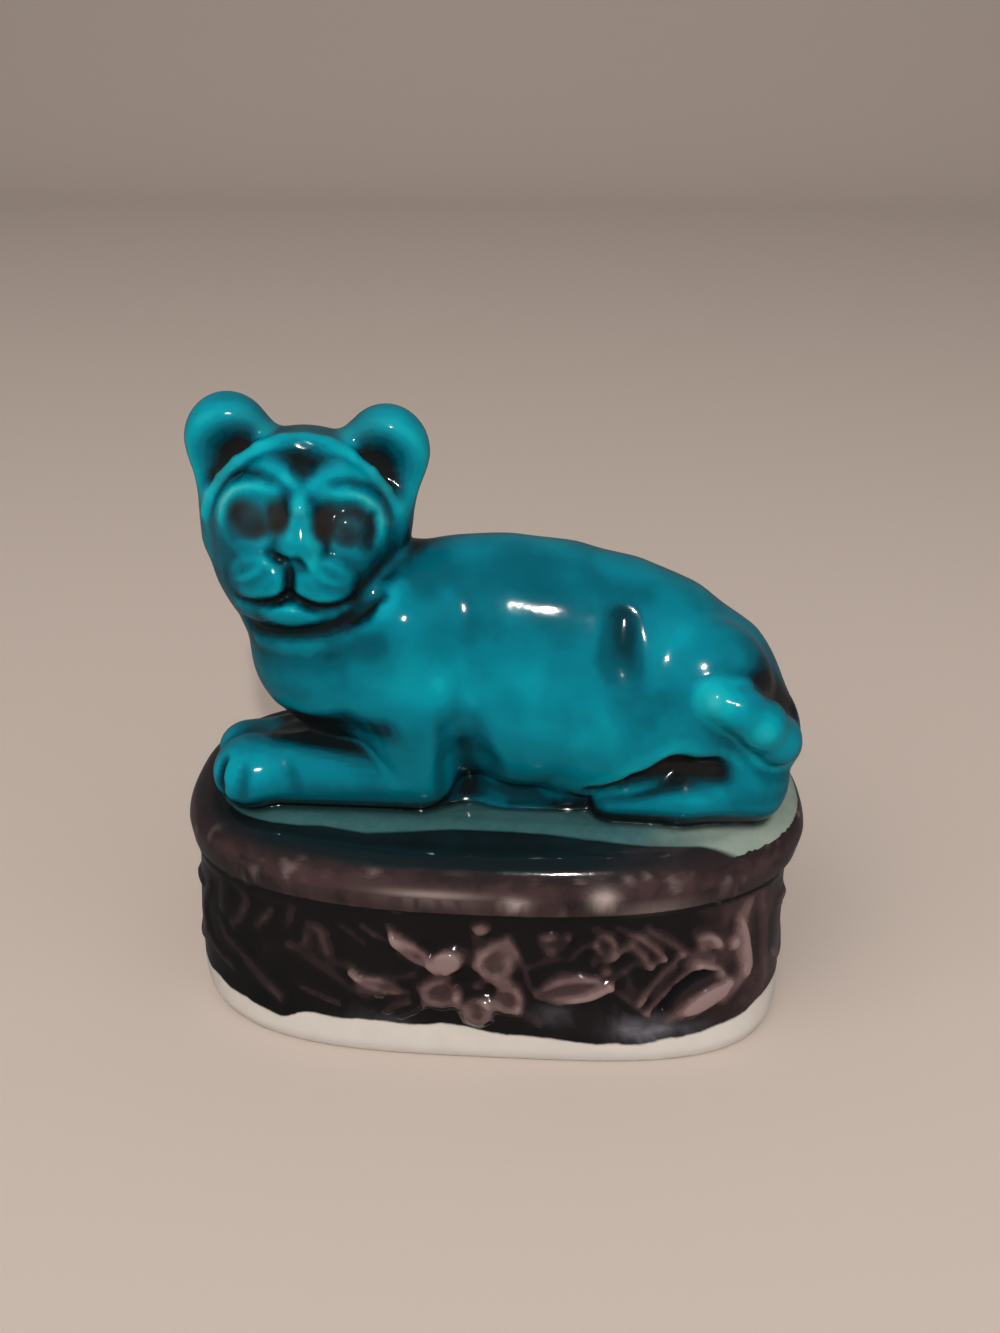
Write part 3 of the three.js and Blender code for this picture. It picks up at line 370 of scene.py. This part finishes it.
# ------------------------------------------------------------ polygoniser
POOL=ThreadPoolExecutor(4)
def values(fun,P,ch=30000):
    out=np.empty(len(P),F)
    def job(i): out[i:i+ch]=fun(P[i:i+ch])
    list(POOL.map(job,range(0,len(P),ch)))
    return out
def surface_nets(fun,lo,hi,h,project=2,B=8):
    lo=np.array(lo,float); hi=np.array(hi,float)
    n=np.ceil((hi-lo)/h).astype(int)+1
    nb=np.ceil(n/B).astype(int); n=nb*B+1
    bc=np.stack(np.meshgrid(*[np.arange(k) for k in nb],indexing='ij'),-1).reshape(-1,3)
    d=values(fun,lo+(bc+0.5)*B*h)
    keep=np.abs(d)<B*h*0.5*np.sqrt(3)*1.25+1.0
    alld=d.reshape(tuple(nb))
    vol=np.full(n,1e3,F)
    vol[:-1,:-1,:-1]=np.repeat(np.repeat(np.repeat(np.where(alld<0,-1e3,1e3).astype(F),B,0),B,1),B,2)
    bc=bc[keep]
    o=np.stack(np.meshgrid(*[np.arange(B+1)]*3,indexing='ij'),-1).reshape(-1,3)
    CHN=4000
    for i in range(0,len(bc),CHN):
        idx=(bc[i:i+CHN,None,:]*B+o[None]).reshape(-1,3)
        vol[idx[:,0],idx[:,1],idx[:,2]]=values(fun,lo+idx*h)
    s=vol<0
    cnt=np.zeros(tuple(k-1 for k in n),np.uint8)
    for dx in (0,1):
        for dy in (0,1):
            for dz in (0,1):
                cnt+=s[dx:s.shape[0]-1+dx,dy:s.shape[1]-1+dy,dz:s.shape[2]-1+dz]
    act=(cnt>0)&(cnt<8)
    ai=np.argwhere(act)
    vid=np.full(act.shape,-1,np.int32); vid[act]=np.arange(len(ai))
    acc=np.zeros((len(ai),3)); w=np.zeros(len(ai))
    cor=[(0,0,0),(1,0,0),(0,1,0),(1,1,0),(0,0,1),(1,0,1),(0,1,1),(1,1,1)]
    vals=[vol[ai[:,0]+c[0],ai[:,1]+c[1],ai[:,2]+c[2]] for c in cor]
    for i in range(8):
        for j in range(i+1,8):
            ci,cj=np.array(cor[i]),np.array(cor[j])
            if np.abs(ci-cj).sum()!=1: continue
            m=(vals[i]<0)!=(vals[j]<0)
            t=vals[i][m]/(vals[i][m]-vals[j][m])
            acc[m]+=ci+t[:,None]*(cj-ci); w[m]+=1
    V=lo+(ai+acc/w[:,None])*h
    quads=[]
    for ax in range(3):
        sl0=[slice(None)]*3; sl1=[slice(None)]*3
        sl0[ax]=slice(0,-1); sl1[ax]=slice(1,None)
        e=np.argwhere(s[tuple(sl0)]!=s[tuple(sl1)])
        o1=(ax+1)%3; o2=(ax+2)%3
        ok=(e[:,o1]>0)&(e[:,o2]>0)&(e[:,o1]<act.shape[o1])&(e[:,o2]<act.shape[o2])
        e=e[ok]
        def at(d1,d2):
            q=e.copy(); q[:,o1]+=d1; q[:,o2]+=d2
            return vid[q[:,0],q[:,1],q[:,2]]
        q=np.stack([at(-1,-1),at(0,-1),at(0,0),at(-1,0)],1)
        ins=s[e[:,0],e[:,1],e[:,2]]
        q[~ins]=q[~ins][:,::-1]
        quads.append(q)
    Q=np.concatenate(quads)
    for _ in range(project): V=newton(fun,V,h)
    return V,Q
def grad(fun,V,e=0.05):
    """tetrahedral differences"""
    k=np.array([[1,-1,-1],[-1,-1,1],[-1,1,-1],[1,1,1]],float)
    g=np.zeros((len(V),3))
    for t in k: g+=values(fun,V+t*e)[:,None]*t
    return g/(4*e)
def newton(fun,V,h):
    f=values(fun,V); g=grad(fun,V)
    st=-(f/np.maximum((g*g).sum(1),0.05))[:,None]*g
    l=np.linalg.norm(st,axis=1); m=np.minimum(1,0.45*h/np.maximum(l,1e-9))
    return V+st*m[:,None]
def march(fun,cam,u,v):
    C,fw,r,up,f,cx,cy=cam
    d=fw+r*(u-cx)/f-up*(v-cy)/f; d=d/np.linalg.norm(d)
    t=60.0
    for _ in range(300):
        p=C+d*t; s=float(fun(p[None].astype(F))[0])
        if s<0.005: break
        t+=min(s,3)*0.6
        if t>230: return None
    return C+d*t
# where the glaze stops above the bare foot, round the base
GLAZE_S=[-93,-80,-66,-55,-46,-36,-32.4,-28.0,-25.3,-22.8,-20.4,-15.9,-11.6,-8.3,-5.0,-2.8,-0.6,2.6,5.9,9.6,12.2,16.4,19.1,21.9,26.8,29.7,31.5,35.4,46,57,68,80,93]
GLAZE_Z=[3.6,4.1,3.2,3.9,4.3,4.6,4.5,3.8,3.4,3.0,4.0,4.2,4.3,4.0,4.6,4.3,3.7,3.5,3.1,2.7,2.6,2.4,3.0,3.1,3.7,4.1,4.5,4.8,4.2,3.7,4.2,3.4,3.6]
# ------------------------------------------------------------ mesh
MM=0.001; MIDDLE=0.16          # the model stands with the middle of its box on X = 0
CELL=0.27
FACES=192000
V,Q=surface_nets(field,(-39,-23,-1.2),(39,23,73),CELL,project=2)
V[:,2]=np.maximum(V[:,2],0)
def mesh_of(name,verts,quads):
    me=bpy.data.meshes.new(name)
    me.vertices.add(len(verts)); me.vertices.foreach_set('co',np.ascontiguousarray(verts,np.float32).ravel())
    me.loops.add(quads.size); me.loops.foreach_set('vertex_index',np.ascontiguousarray(quads,np.int32).ravel())
    me.polygons.add(len(quads)); me.polygons.foreach_set('loop_start',np.arange(0,quads.size,quads.shape[1],dtype=np.int32))
    me.polygons.foreach_set('loop_total',np.full(len(quads),quads.shape[1],np.int32))
    me.update(calc_edges=True); me.validate()
    return me
raw=bpy.data.objects.new('raw',mesh_of('raw',V,Q)); bpy.context.scene.collection.objects.link(raw)
dec=raw.modifiers.new('d','DECIMATE'); dec.ratio=min(1.0,FACES/(2*len(Q))); dec.use_collapse_triangulate=True
dg=bpy.context.evaluated_depsgraph_get()
ev=raw.evaluated_get(dg).to_mesh(); ev.calc_loop_triangles()
V=np.empty(len(ev.vertices)*3,np.float32); ev.vertices.foreach_get('co',V); V=V.reshape(-1,3).astype(float)
T=np.empty(len(ev.loop_triangles)*3,np.int32); ev.loop_triangles.foreach_get('vertices',T); T=T.reshape(-1,3)
raw.evaluated_get(dg).to_mesh_clear(); bpy.data.objects.remove(raw)
under=V[:,2]<0.02
V=newton(field,V,CELL); V[under,2]=0; V[:,2]=np.maximum(V[:,2],0)
# ------------------------------------------------------------ what the glaze did: thin on edges, pooled in hollows; a few patches add painted shade
N=grad(field,V,0.08); G=np.clip(np.linalg.norm(N,axis=1),0.3,3); N/=G[:,None]
G=np.clip(G,0.6,1.6)
def hollow(d): return np.minimum(values(field,V+N*d)/G/d-1,0.3)            # below 0 in hollows
def edge(d): return np.maximum(values(field,V-N*d)/G/d+1,-0.3)              # above 0 on thin raised parts
h06,h12,h25,h50=hollow(0.6),hollow(1.2),hollow(2.5),hollow(5.0)
e05,e10,e25=edge(0.5),edge(1.0),edge(2.5)
P32=V.astype(F)
def wob(scale,seed):
    """gentle unevenness from a few sine waves"""
    g=np.random.default_rng(seed); o=np.zeros(len(V))
    for k in range(7):
        w=g.normal(size=3); w/=np.linalg.norm(w)
        o+=np.sin(V@w*(2*np.pi/scale)*(0.6+0.25*k)+g.uniform(0,6.28))/(1+0.5*k)
    return o/3.0
x,y,z=V[:,0],V[:,1],V[:,2]
dplan=plan(P32)
s_along=along(x,y)
ramp=lambda v,a,b: np.clip((v-a)/(b-a),0,1)
soft=lambda v,a,b: (lambda t: t*t*(3-2*t))(ramp(v,a,b))
catf=values(cat,V)                                          # 0 on the cat itself
oncat=soft(catf,1.1,0.2)
thin_and_shade=0.40+0.5*np.clip(e05,-.1,.5)+0.55*np.clip(e10,-.1,.5)+0.3*np.clip(e25,-.2,.6)+0.26*h06+0.36*h12+0.32*h25+0.14*h50
wall_h=WALL.look(s_along,z)*soft(z,1.8,4.2)*soft(z,19.6,18.8)*soft(dplan,-2,-1.2)
onwall=soft(z,19.4,18.8)*soft(dplan,-2,-1.2)
thin_and_shade=thin_and_shade*(1-onwall)+onwall*(0.19+0.72*wall_h+0.4*np.clip(e05,-.1,.4)+0.2*h06+0.15*h12+0.06*wob(5,21)+0.3*soft(x,14,30))
thin_and_shade+=0.05*wob(9,1)+0.04*wob(4,2)
ends=np.unique(np.sort(np.concatenate([T[:,[0,1]],T[:,[1,2]],T[:,[2,0]]]),1),axis=0); near=np.bincount(ends.ravel(),minlength=len(V))
def spread(a,times):
    for _ in range(times): a=0.5*a+0.5*(np.bincount(ends[:,0],a[ends[:,1]],len(V))+np.bincount(ends[:,1],a[ends[:,0]],len(V)))/np.maximum(near,1)
    return a
thin_and_shade=spread(thin_and_shade,3); thin_and_shade+=(spread(thin_and_shade,4)-thin_and_shade)*oncat
def seg(p,q,r):
    """soft patch round a segment in mm, 1 at its middle"""
    p=np.array(p,float); q=np.array(q,float); d=q-p; k=np.clip(((V-p)@d)/(d@d+1e-9),0,1)
    return np.exp(-((V-p-k[:,None]*d)**2).sum(1)/(r*r))
GLAZE_RUN_AND_SHADE=[  # glaze run thin (+) or pooled (-) over the body; the band under the overhanging chest (with pooled glaze) and the gap behind the upper arm are painted shade
    ((-7.1,-10.8,48.8),(-7.8,-12,45),3.2,.12),((-5.4,-10.9,44),(-5.0,-9.2,28),1.3,.24),((-9,-12.4,40),(-9,-12,32),4,.05),
    ((-25.1,-10.4,33.1),(-24,-11.5,31),2.6,.12),((-19,-11,34),(-10,-12,33),2.5,.06),((-31,-3,31.6),(-30,-5,32.5),1.4,.15),
    ((13,-9.6,29.5),(24,-11.2,30.8),1.9,.18),((27,-11,34.5),(28.7,-11,30),2.2,.08),((19,-7,47.6),(19.5,-8,45.5),3.6,.12),((22.1,-12.1,41.7),(20.5,-11.5,39.5),2.8,.12),
    ((23.2,-12,43.4),(28.4,-12,40),1.7,.26),((28.4,-12,40),(31,-9.5,36.5),1.7,.2),((16.6,-9.6,38.2),(11,-8.2,30.4),1.5,.16),((7,-12,40),(9,-12,38),6.5,.05),
    ((-25,-9,57),(-25,-9,54),3,.05),
    # second entry below: painted shade with pooled glaze under the overhanging chest; third entry: painted shade in the
    # gap behind the upper arm
    ((-26,-7.5,46.6),(-12,-10.5,48.6),2.2,-.2),((-24,-5,35.2),(-11,-12.4,38.8),1.4,-.32),((-3.4,-9,36.6),(-2.7,-6,28),1.7,-.34),
    ((14.2,-7.4,47.5),(16.2,-9.4,39.5),1.5,-.14),((16.8,-8.2,33.4),(24,-9,33.9),1.8,-.5),((28.6,-7.4,43.4),(33,-1.5,36.8),2.1,-.42),
    ((3,-12,36),(6,-11,33),4.2,-.07),((2.8,-4.4,53.9),(5,-5,53),4.2,-.14),((13.2,-5.1,51.1),(15,-5,50.5),3.4,-.10),((-6.5,-5.5,53),(-6,-8,49),2.6,-.14),
    ((28.5,-6,46),(31,-4,43),2.6,-.12),((-11,-6,62),(-10.5,-6,54),2.5,-.04)]
for p,q,r,a in GLAZE_RUN_AND_SHADE: thin_and_shade+=a*seg(p,q,r)
L=head_local(P32)
INK=Sheet((-13,-13),(13,13),0.08)                          # brown-black glaze pooled in the eye sockets
for c,r,tn in (((-4.8,2.35),(3.3,2.5),-8),((-2.1,2.9),(2.0,2.3),10),((5.2,2.35),(3.05,2.65),-12),((3.0,2.7),(2.2,2.5),-18)): INK.dome(c,(r[0]*1.12,r[1]*1.12),1.0,tn,'over',0.7)
INK.smooth(2)
burnt_and_shade=INK.look(L[:,0],L[:,1])*soft(L[:,2],3.0,5.0)
burnt_and_shade=0.95*burnt_and_shade*(1-0.6*np.clip(e10*3+0.1,0,1))
burnt_and_shade=np.maximum(burnt_and_shade,0)
for p,q,r,a in [((-8.8,5.6,1),(-6.4,7.6,0),1.4,.6),((6.0,7.4,0),(8.8,5.4,1),1.4,.55)]:      # ear hollows
    pw=np.array(HC)+np.array(p)@HR; qw=np.array(HC)+np.array(q)@HR; burnt_and_shade=np.maximum(burnt_and_shade,a*seg(pw,qw,r))
top=np.exp(-((L[:,0]-0.5)/6.0)**2)*soft(L[:,1],9.0,10.2)*soft(L[:,2],1.6,0.2)*soft(L[:,2],-9,-3)*oncat
burnt_and_shade=np.maximum(burnt_and_shade,0.62*top)
# pooled brown glaze and painted shade in the gap between the forelegs
burnt_and_shade=np.maximum(burnt_and_shade,0.5*seg((-27,-2.2,32.6),(-20.5,-6.6,35.6),1.5)*oncat)
burnt_and_shade=np.maximum(burnt_and_shade,0.65*seg((17.0,-8,33.6),(23.5,-9,34),1.5))
burnt_and_shade=np.maximum(burnt_and_shade,0.45*seg((29,-8,43),(33.2,-1.6,36.6),1.6))
burnt_and_shade=np.clip(burnt_and_shade,0,1)*oncat
# turquoise on the cat and the middle of the plate, aubergine from the plate's edge down
PX=[-36,-27.2,-23.0,-18.3,-13.7,-9.3,-4.9,2.3,8.1,14.1,17.1,22.8,27.2,30,36]
PD=[-3.4,-3.7,-4.5,-5.2,-5.1,-5.7,-6.5,-6.4,-6.0,-4.9,-4.0,-2.5,-0.5,0.1,0.2]
bound=np.interp(x,PX,PD)+0.3*wob(8,3)+0.12*wob(3,8)
topface=soft(z,24.4,25.4)*(1-oncat*soft(z,26.2,26.8))
pale=np.clip(0.5+(bound-dplan)*0.25,0,1)*(topface>0.5)
band=soft(-0.7+0.4*wob(9,9)-dplan,-0.7,0.7)*topface*np.interp(x,[-36,-30,-24,10,20,28],[.2,.5,1,1,.5,.15])
turq=np.clip(oncat*soft(z,25.9,26.7),0,1)
wl=lambda s0,z0,rs,rz: np.exp(-((s_along-s0)/rs)**2-((z-z0)/rz)**2)
worn=np.maximum.reduce([wl(3.2,21.7,1.3,.8),wl(12.8,22.4,1.3,1.1),0.55*wl(19,20.6,4.5,.8),0.5*wl(-6,22.6,5,.5),0.35*wl(-48,21,5,1.2),0.35*wl(48,20.6,4,1.2),0.4*wl(-80,21,4,.9),0.4*wl(76,20.4,4,.9)])*soft(dplan,-2.5,-1)
worn+=0.25*soft(wob(3,12),0.3,0.9)*soft(dplan,-2.0,-0.6)*soft(z,18.8,20)*soft(z,26,24)
bloom=np.maximum.reduce([1.3*wl(17.5,4.3,3.2,1.2),0.5*wl(8,6.2,2.0,1.2),0.4*wl(-12,4.4,3,.8),0.6*wl(22,4.0,2.0,.8),0.4*wl(60,5,4,1.2),0.4*wl(-62,5,4,1.2)])*soft(dplan,-2,-1)*(0.6+0.4*wob(2.5,13))
# bare foot below an uneven line
line=np.interp(s_along,GLAZE_S,GLAZE_Z)+0.25*wob(7,4)+0.12*wob(2.5,5)
bare=np.clip(0.5+(line-z)*0.25,0,1)
tone=0.5+0.35*wob(22,6)+0.15*wob(8,7)
me=mesh_of('cat_figurine_glazed',(V+[MIDDLE,0,0])*MM,T)
me.polygons.foreach_set('use_smooth',np.ones(len(me.polygons),bool))
def attribute(name,*ch):
    a=me.color_attributes.new(name,'FLOAT_COLOR','POINT'); c=np.ones((len(V),4),np.float32)
    for k,v in enumerate(ch): c[:,k]=v
    a.data.foreach_set('color',c.ravel())
assert len(me.vertices)==len(V)
deep=np.clip(-(0.6*h12+0.8*h25+0.5*h50)-0.25,0,1)
attribute('glaze',np.clip(thin_and_shade,0,1),turq,bare)
attribute('tone',np.clip(tone,0,1),deep,np.clip(burnt_and_shade,0,1))
attribute('plate',np.clip(pale,0,1),np.clip(band,0,1),soft(x,14,28))
attribute('wear',np.clip(worn,0,1),np.clip(bloom,0,1),soft(catf,1.0,0.15)*topface)
ob=bpy.data.objects.new('cat_figurine_glazed',me); bpy.context.scene.collection.objects.link(ob)
# ------------------------------------------------------------ materials
def nodes_of(name):
    m=bpy.data.materials.new(name); m.use_nodes=True; t=m.node_tree; t.nodes.clear()
    out=t.nodes.new('ShaderNodeOutputMaterial'); b=t.nodes.new('ShaderNodeBsdfPrincipled'); t.links.new(b.outputs[0],out.inputs[0])
    return m,t,b
class Tree:
    def __init__(s,t): s.t=t
    def n(s,kind,**k):
        o=s.t.nodes.new(kind)
        for a,v in k.items(): setattr(o,a,v)
        return o
    def link(s,a,b): s.t.links.new(a,b)
    def ramp(s,src,stops,interp='EASE'):
        r=s.n('ShaderNodeValToRGB'); r.color_ramp.interpolation=interp
        e=r.color_ramp.elements
        while len(e)>1: e.remove(e[-1])
        e[0].position=stops[0][0]; e[0].color=(*stops[0][1],1)
        for p,c in stops[1:]:
            q=e.new(p); q.color=(*c,1)
        s.link(src,r.inputs[0]); return r.outputs[0]
    def mix(s,f,a,b,how='MIX'):
        m=s.n('ShaderNodeMix',data_type='RGBA',blend_type=how)
        for sock,v in ((m.inputs[0],f),(m.inputs[6],a),(m.inputs[7],b)):
            if isinstance(v,bpy.types.NodeSocket): s.link(v,sock)
            elif isinstance(v,(tuple,list)): sock.default_value=(*v,1)
            else: sock.default_value=v
        return m.outputs[2]
    def math(s,op,a,b=None,c=None,clamp=False):
        m=s.n('ShaderNodeMath',operation=op,use_clamp=clamp)
        for sock,v in zip(m.inputs,(a,b,c)):
            if v is None: continue
            if isinstance(v,bpy.types.NodeSocket): s.link(v,sock)
            else: sock.default_value=v
        return m.outputs[0]
    def noise(s,scale,detail=3,rough=0.5,dist=0.0):
        k=s.n('ShaderNodeTexNoise'); k.inputs['Scale'].default_value=scale; k.inputs['Detail'].default_value=detail; k.inputs['Roughness'].default_value=rough; k.inputs['Distortion'].default_value=dist
        s.link(s.co,k.inputs['Vector']); return k.outputs[0]
def srgb(r,g,b): return tuple(((c/255)/12.92 if c<=10.3 else ((c/255+0.055)/1.055)**2.4) for c in (r,g,b))
mat,t,b=nodes_of('porcelain_glaze'); w=Tree(t)
w.co=w.n('ShaderNodeTexCoord').outputs['Object']
def channels(name):
    a=w.n('ShaderNodeVertexColor',layer_name=name); k=w.n('ShaderNodeSeparateColor'); w.link(a.outputs[0],k.inputs[0]); return k.outputs
THIN_AND_SHADE,TURQ,BARE=channels('glaze'); TONE,DEEP,BURNT_AND_SHADE=channels('tone'); PALE,BAND,RIGHT=channels('plate'); WORN,BLOOM,TOUCH=channels('wear')
n1=w.noise(260,3,0.55); n2=w.noise(1100,2,0.5); n3=w.noise(95,3,0.55); n4=w.noise(520,4,0.6,0.6)
th=w.math('ADD',THIN_AND_SHADE,w.math('ADD',w.math('MULTIPLY_ADD',n1,0.14,-0.07),w.math('MULTIPLY_ADD',n3,0.22,-0.11)),clamp=True)
turq_c=w.ramp(th,[(0.0,srgb(14,22,24)),(0.14,srgb(2,48,58)),(0.3,srgb(0,84,100)),(0.44,srgb(0,112,130)),(0.58,srgb(0,136,153)),(0.74,srgb(8,156,168)),(1.0,srgb(78,178,180))])
# brown-black of the glaze pooled in sockets and ears, also laid on as painted shade between the forelegs
burnt_and_shade_c=w.mix(w.math('MULTIPLY',n4,0.8),srgb(22,21,22),srgb(52,44,40))
turq_c=w.mix(BURNT_AND_SHADE,turq_c,burnt_and_shade_c)
brown_c=w.ramp(w.math('ADD',th,w.math('MULTIPLY_ADD',n4,0.16,-0.08),clamp=True),[(0.0,srgb(13,12,14)),(0.26,srgb(24,20,21)),(0.42,srgb(42,32,33)),(0.56,srgb(66,50,50)),(0.72,srgb(96,76,75)),(1.0,srgb(132,110,108))])
brown_c=w.mix(w.math('MULTIPLY',WORN,0.9),brown_c,srgb(186,170,166))
brown_c=w.mix(w.math('MULTIPLY',BLOOM,w.math('MULTIPLY_ADD',n4,0.9,0.1)),brown_c,srgb(140,138,148))
pale_c=w.mix(RIGHT,w.mix(n4,srgb(34,80,84),srgb(70,104,104)),w.mix(n4,srgb(112,130,122),srgb(150,158,146)))
pale_c=w.mix(TOUCH,pale_c,srgb(8,24,28))
c=w.mix(BAND,brown_c,w.mix(n3,srgb(10,14,17),srgb(20,34,38))); c=w.mix(w.ramp(PALE,[(0.44,(0,0,0)),(0.56,(1,1,1))]),c,pale_c); c=w.mix(TURQ,c,turq_c)
foot_c=w.mix(w.math('MULTIPLY',n1,0.5),srgb(206,200,194),srgb(176,162,150))
bare_m=w.ramp(w.math('ADD',BARE,w.math('MULTIPLY_ADD',n4,0.10,-0.05)),[(0.455,(0,0,0)),(0.545,(1,1,1))])
c=w.mix(bare_m,c,foot_c)
w.link(c,b.inputs['Base Color'])
w.link(w.math('MULTIPLY_ADD',bare_m,0.45,w.math('MULTIPLY_ADD',n1,0.08,0.07)),b.inputs['Roughness'])
b.inputs['IOR'].default_value=1.42
bm=w.n('ShaderNodeBump'); bm.inputs['Strength'].default_value=0.3; bm.inputs['Distance'].default_value=0.00010
w.link(w.math('ADD',w.noise(420,2,0.5),w.math('MULTIPLY',n2,0.35)),bm.inputs['Height']); w.link(bm.outputs[0],b.inputs['Normal'])
me.materials.append(mat)
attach(ob,'root'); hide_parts('cat_figurine')
# ------------------------------------------------------------ floor, light and camera
fm,ft,fb=nodes_of('pale_floor'); fb.inputs['Base Color'].default_value=(*srgb(190,176,167),1); fb.inputs['Roughness'].default_value=0.75
def sweep():
    pts=[(-2.2,0.0)]+[(0.62+0.25*math.sin(a),0.25-0.25*math.cos(a)) for a in [math.pi/2*k/16 for k in range(17)]]+[(0.87,1.6)]
    vs=[(sx,p[0],p[1]) for p in pts for sx in (-2.5,2.5)]
    fs=np.array([(2*i,2*i+1,2*i+3,2*i+2) for i in range(len(pts)-1)])
    m=mesh_of('floor',np.array(vs),fs); m.polygons.foreach_set('use_smooth',np.ones(len(fs),bool)); return m
floor=bpy.data.objects.new('floor',sweep()); floor.data.materials.append(fm); bpy.context.scene.collection.objects.link(floor); floor.visible_glossy=False
def lamp(name,at,size,watt,colour=(1,1,1),aim=(0,0,0.035)):
    l=bpy.data.lights.new(name,'AREA'); l.shape='DISK' if size<0.1 else 'SQUARE'; l.size=size; l.energy=watt; l.color=colour
    o=bpy.data.objects.new(name,l); bpy.context.scene.collection.objects.link(o); o.location=at
    o.rotation_euler=(Vector(aim)-Vector(at)).to_track_quat('-Z','Y').to_euler(); return o
def polar(az,el,r):
    a,e=math.radians(az),math.radians(el); return (r*math.sin(a)*math.cos(e),-r*math.cos(a)*math.cos(e),0.035+r*math.sin(e))
lamp('flash',polar(9,44,0.55),0.02,1.6,(1,0.98,0.95))
for o in (lamp('soft_left',polar(-50,50,1.0),0.8,4.4,(1,0.96,0.91)),lamp('soft_right',polar(60,40,1.0),0.8,1.9,(1,0.97,0.94)),lamp('top',(0,0.5,2.0),2.4,13.0,(1,0.98,0.96)),lamp('fill',polar(5,25,1.2),1.0,1.6,(1,0.98,0.96))): o.visible_glossy=False
world=bpy.data.worlds.new('studio'); bpy.context.scene.world=world; world.use_nodes=True
bg=world.node_tree.nodes['Background']; bg.inputs[0].default_value=(0.80,0.77,0.74,1); bg.inputs[1].default_value=0.12
e,psi,D,yaw,pitch=[math.radians(31),math.radians(3.55),137.5,math.radians(3.34),math.radians(29.2)]
eye=Vector((math.sin(psi)*math.cos(e)*D+MIDDLE,-math.cos(psi)*math.cos(e)*D,35+math.sin(e)*D))*MM
fw=Vector((-math.sin(yaw)*math.cos(pitch),math.cos(yaw)*math.cos(pitch),-math.sin(pitch)))
rt=fw.cross(Vector((0,0,1))).normalized(); up=rt.cross(fw)
cd=bpy.data.cameras.new('camera'); cam=bpy.data.objects.new('camera',cd); bpy.context.scene.collection.objects.link(cam)
cam.matrix_world=Matrix.Translation(eye)@Matrix((rt,up,-fw)).transposed().to_4x4()
cd.sensor_fit='HORIZONTAL'; cd.sensor_width=36; cd.lens=43.2; cd.clip_start=0.005; cd.clip_end=10
bpy.context.scene.camera=cam
bpy.context.scene.view_settings.view_transform='Standard'
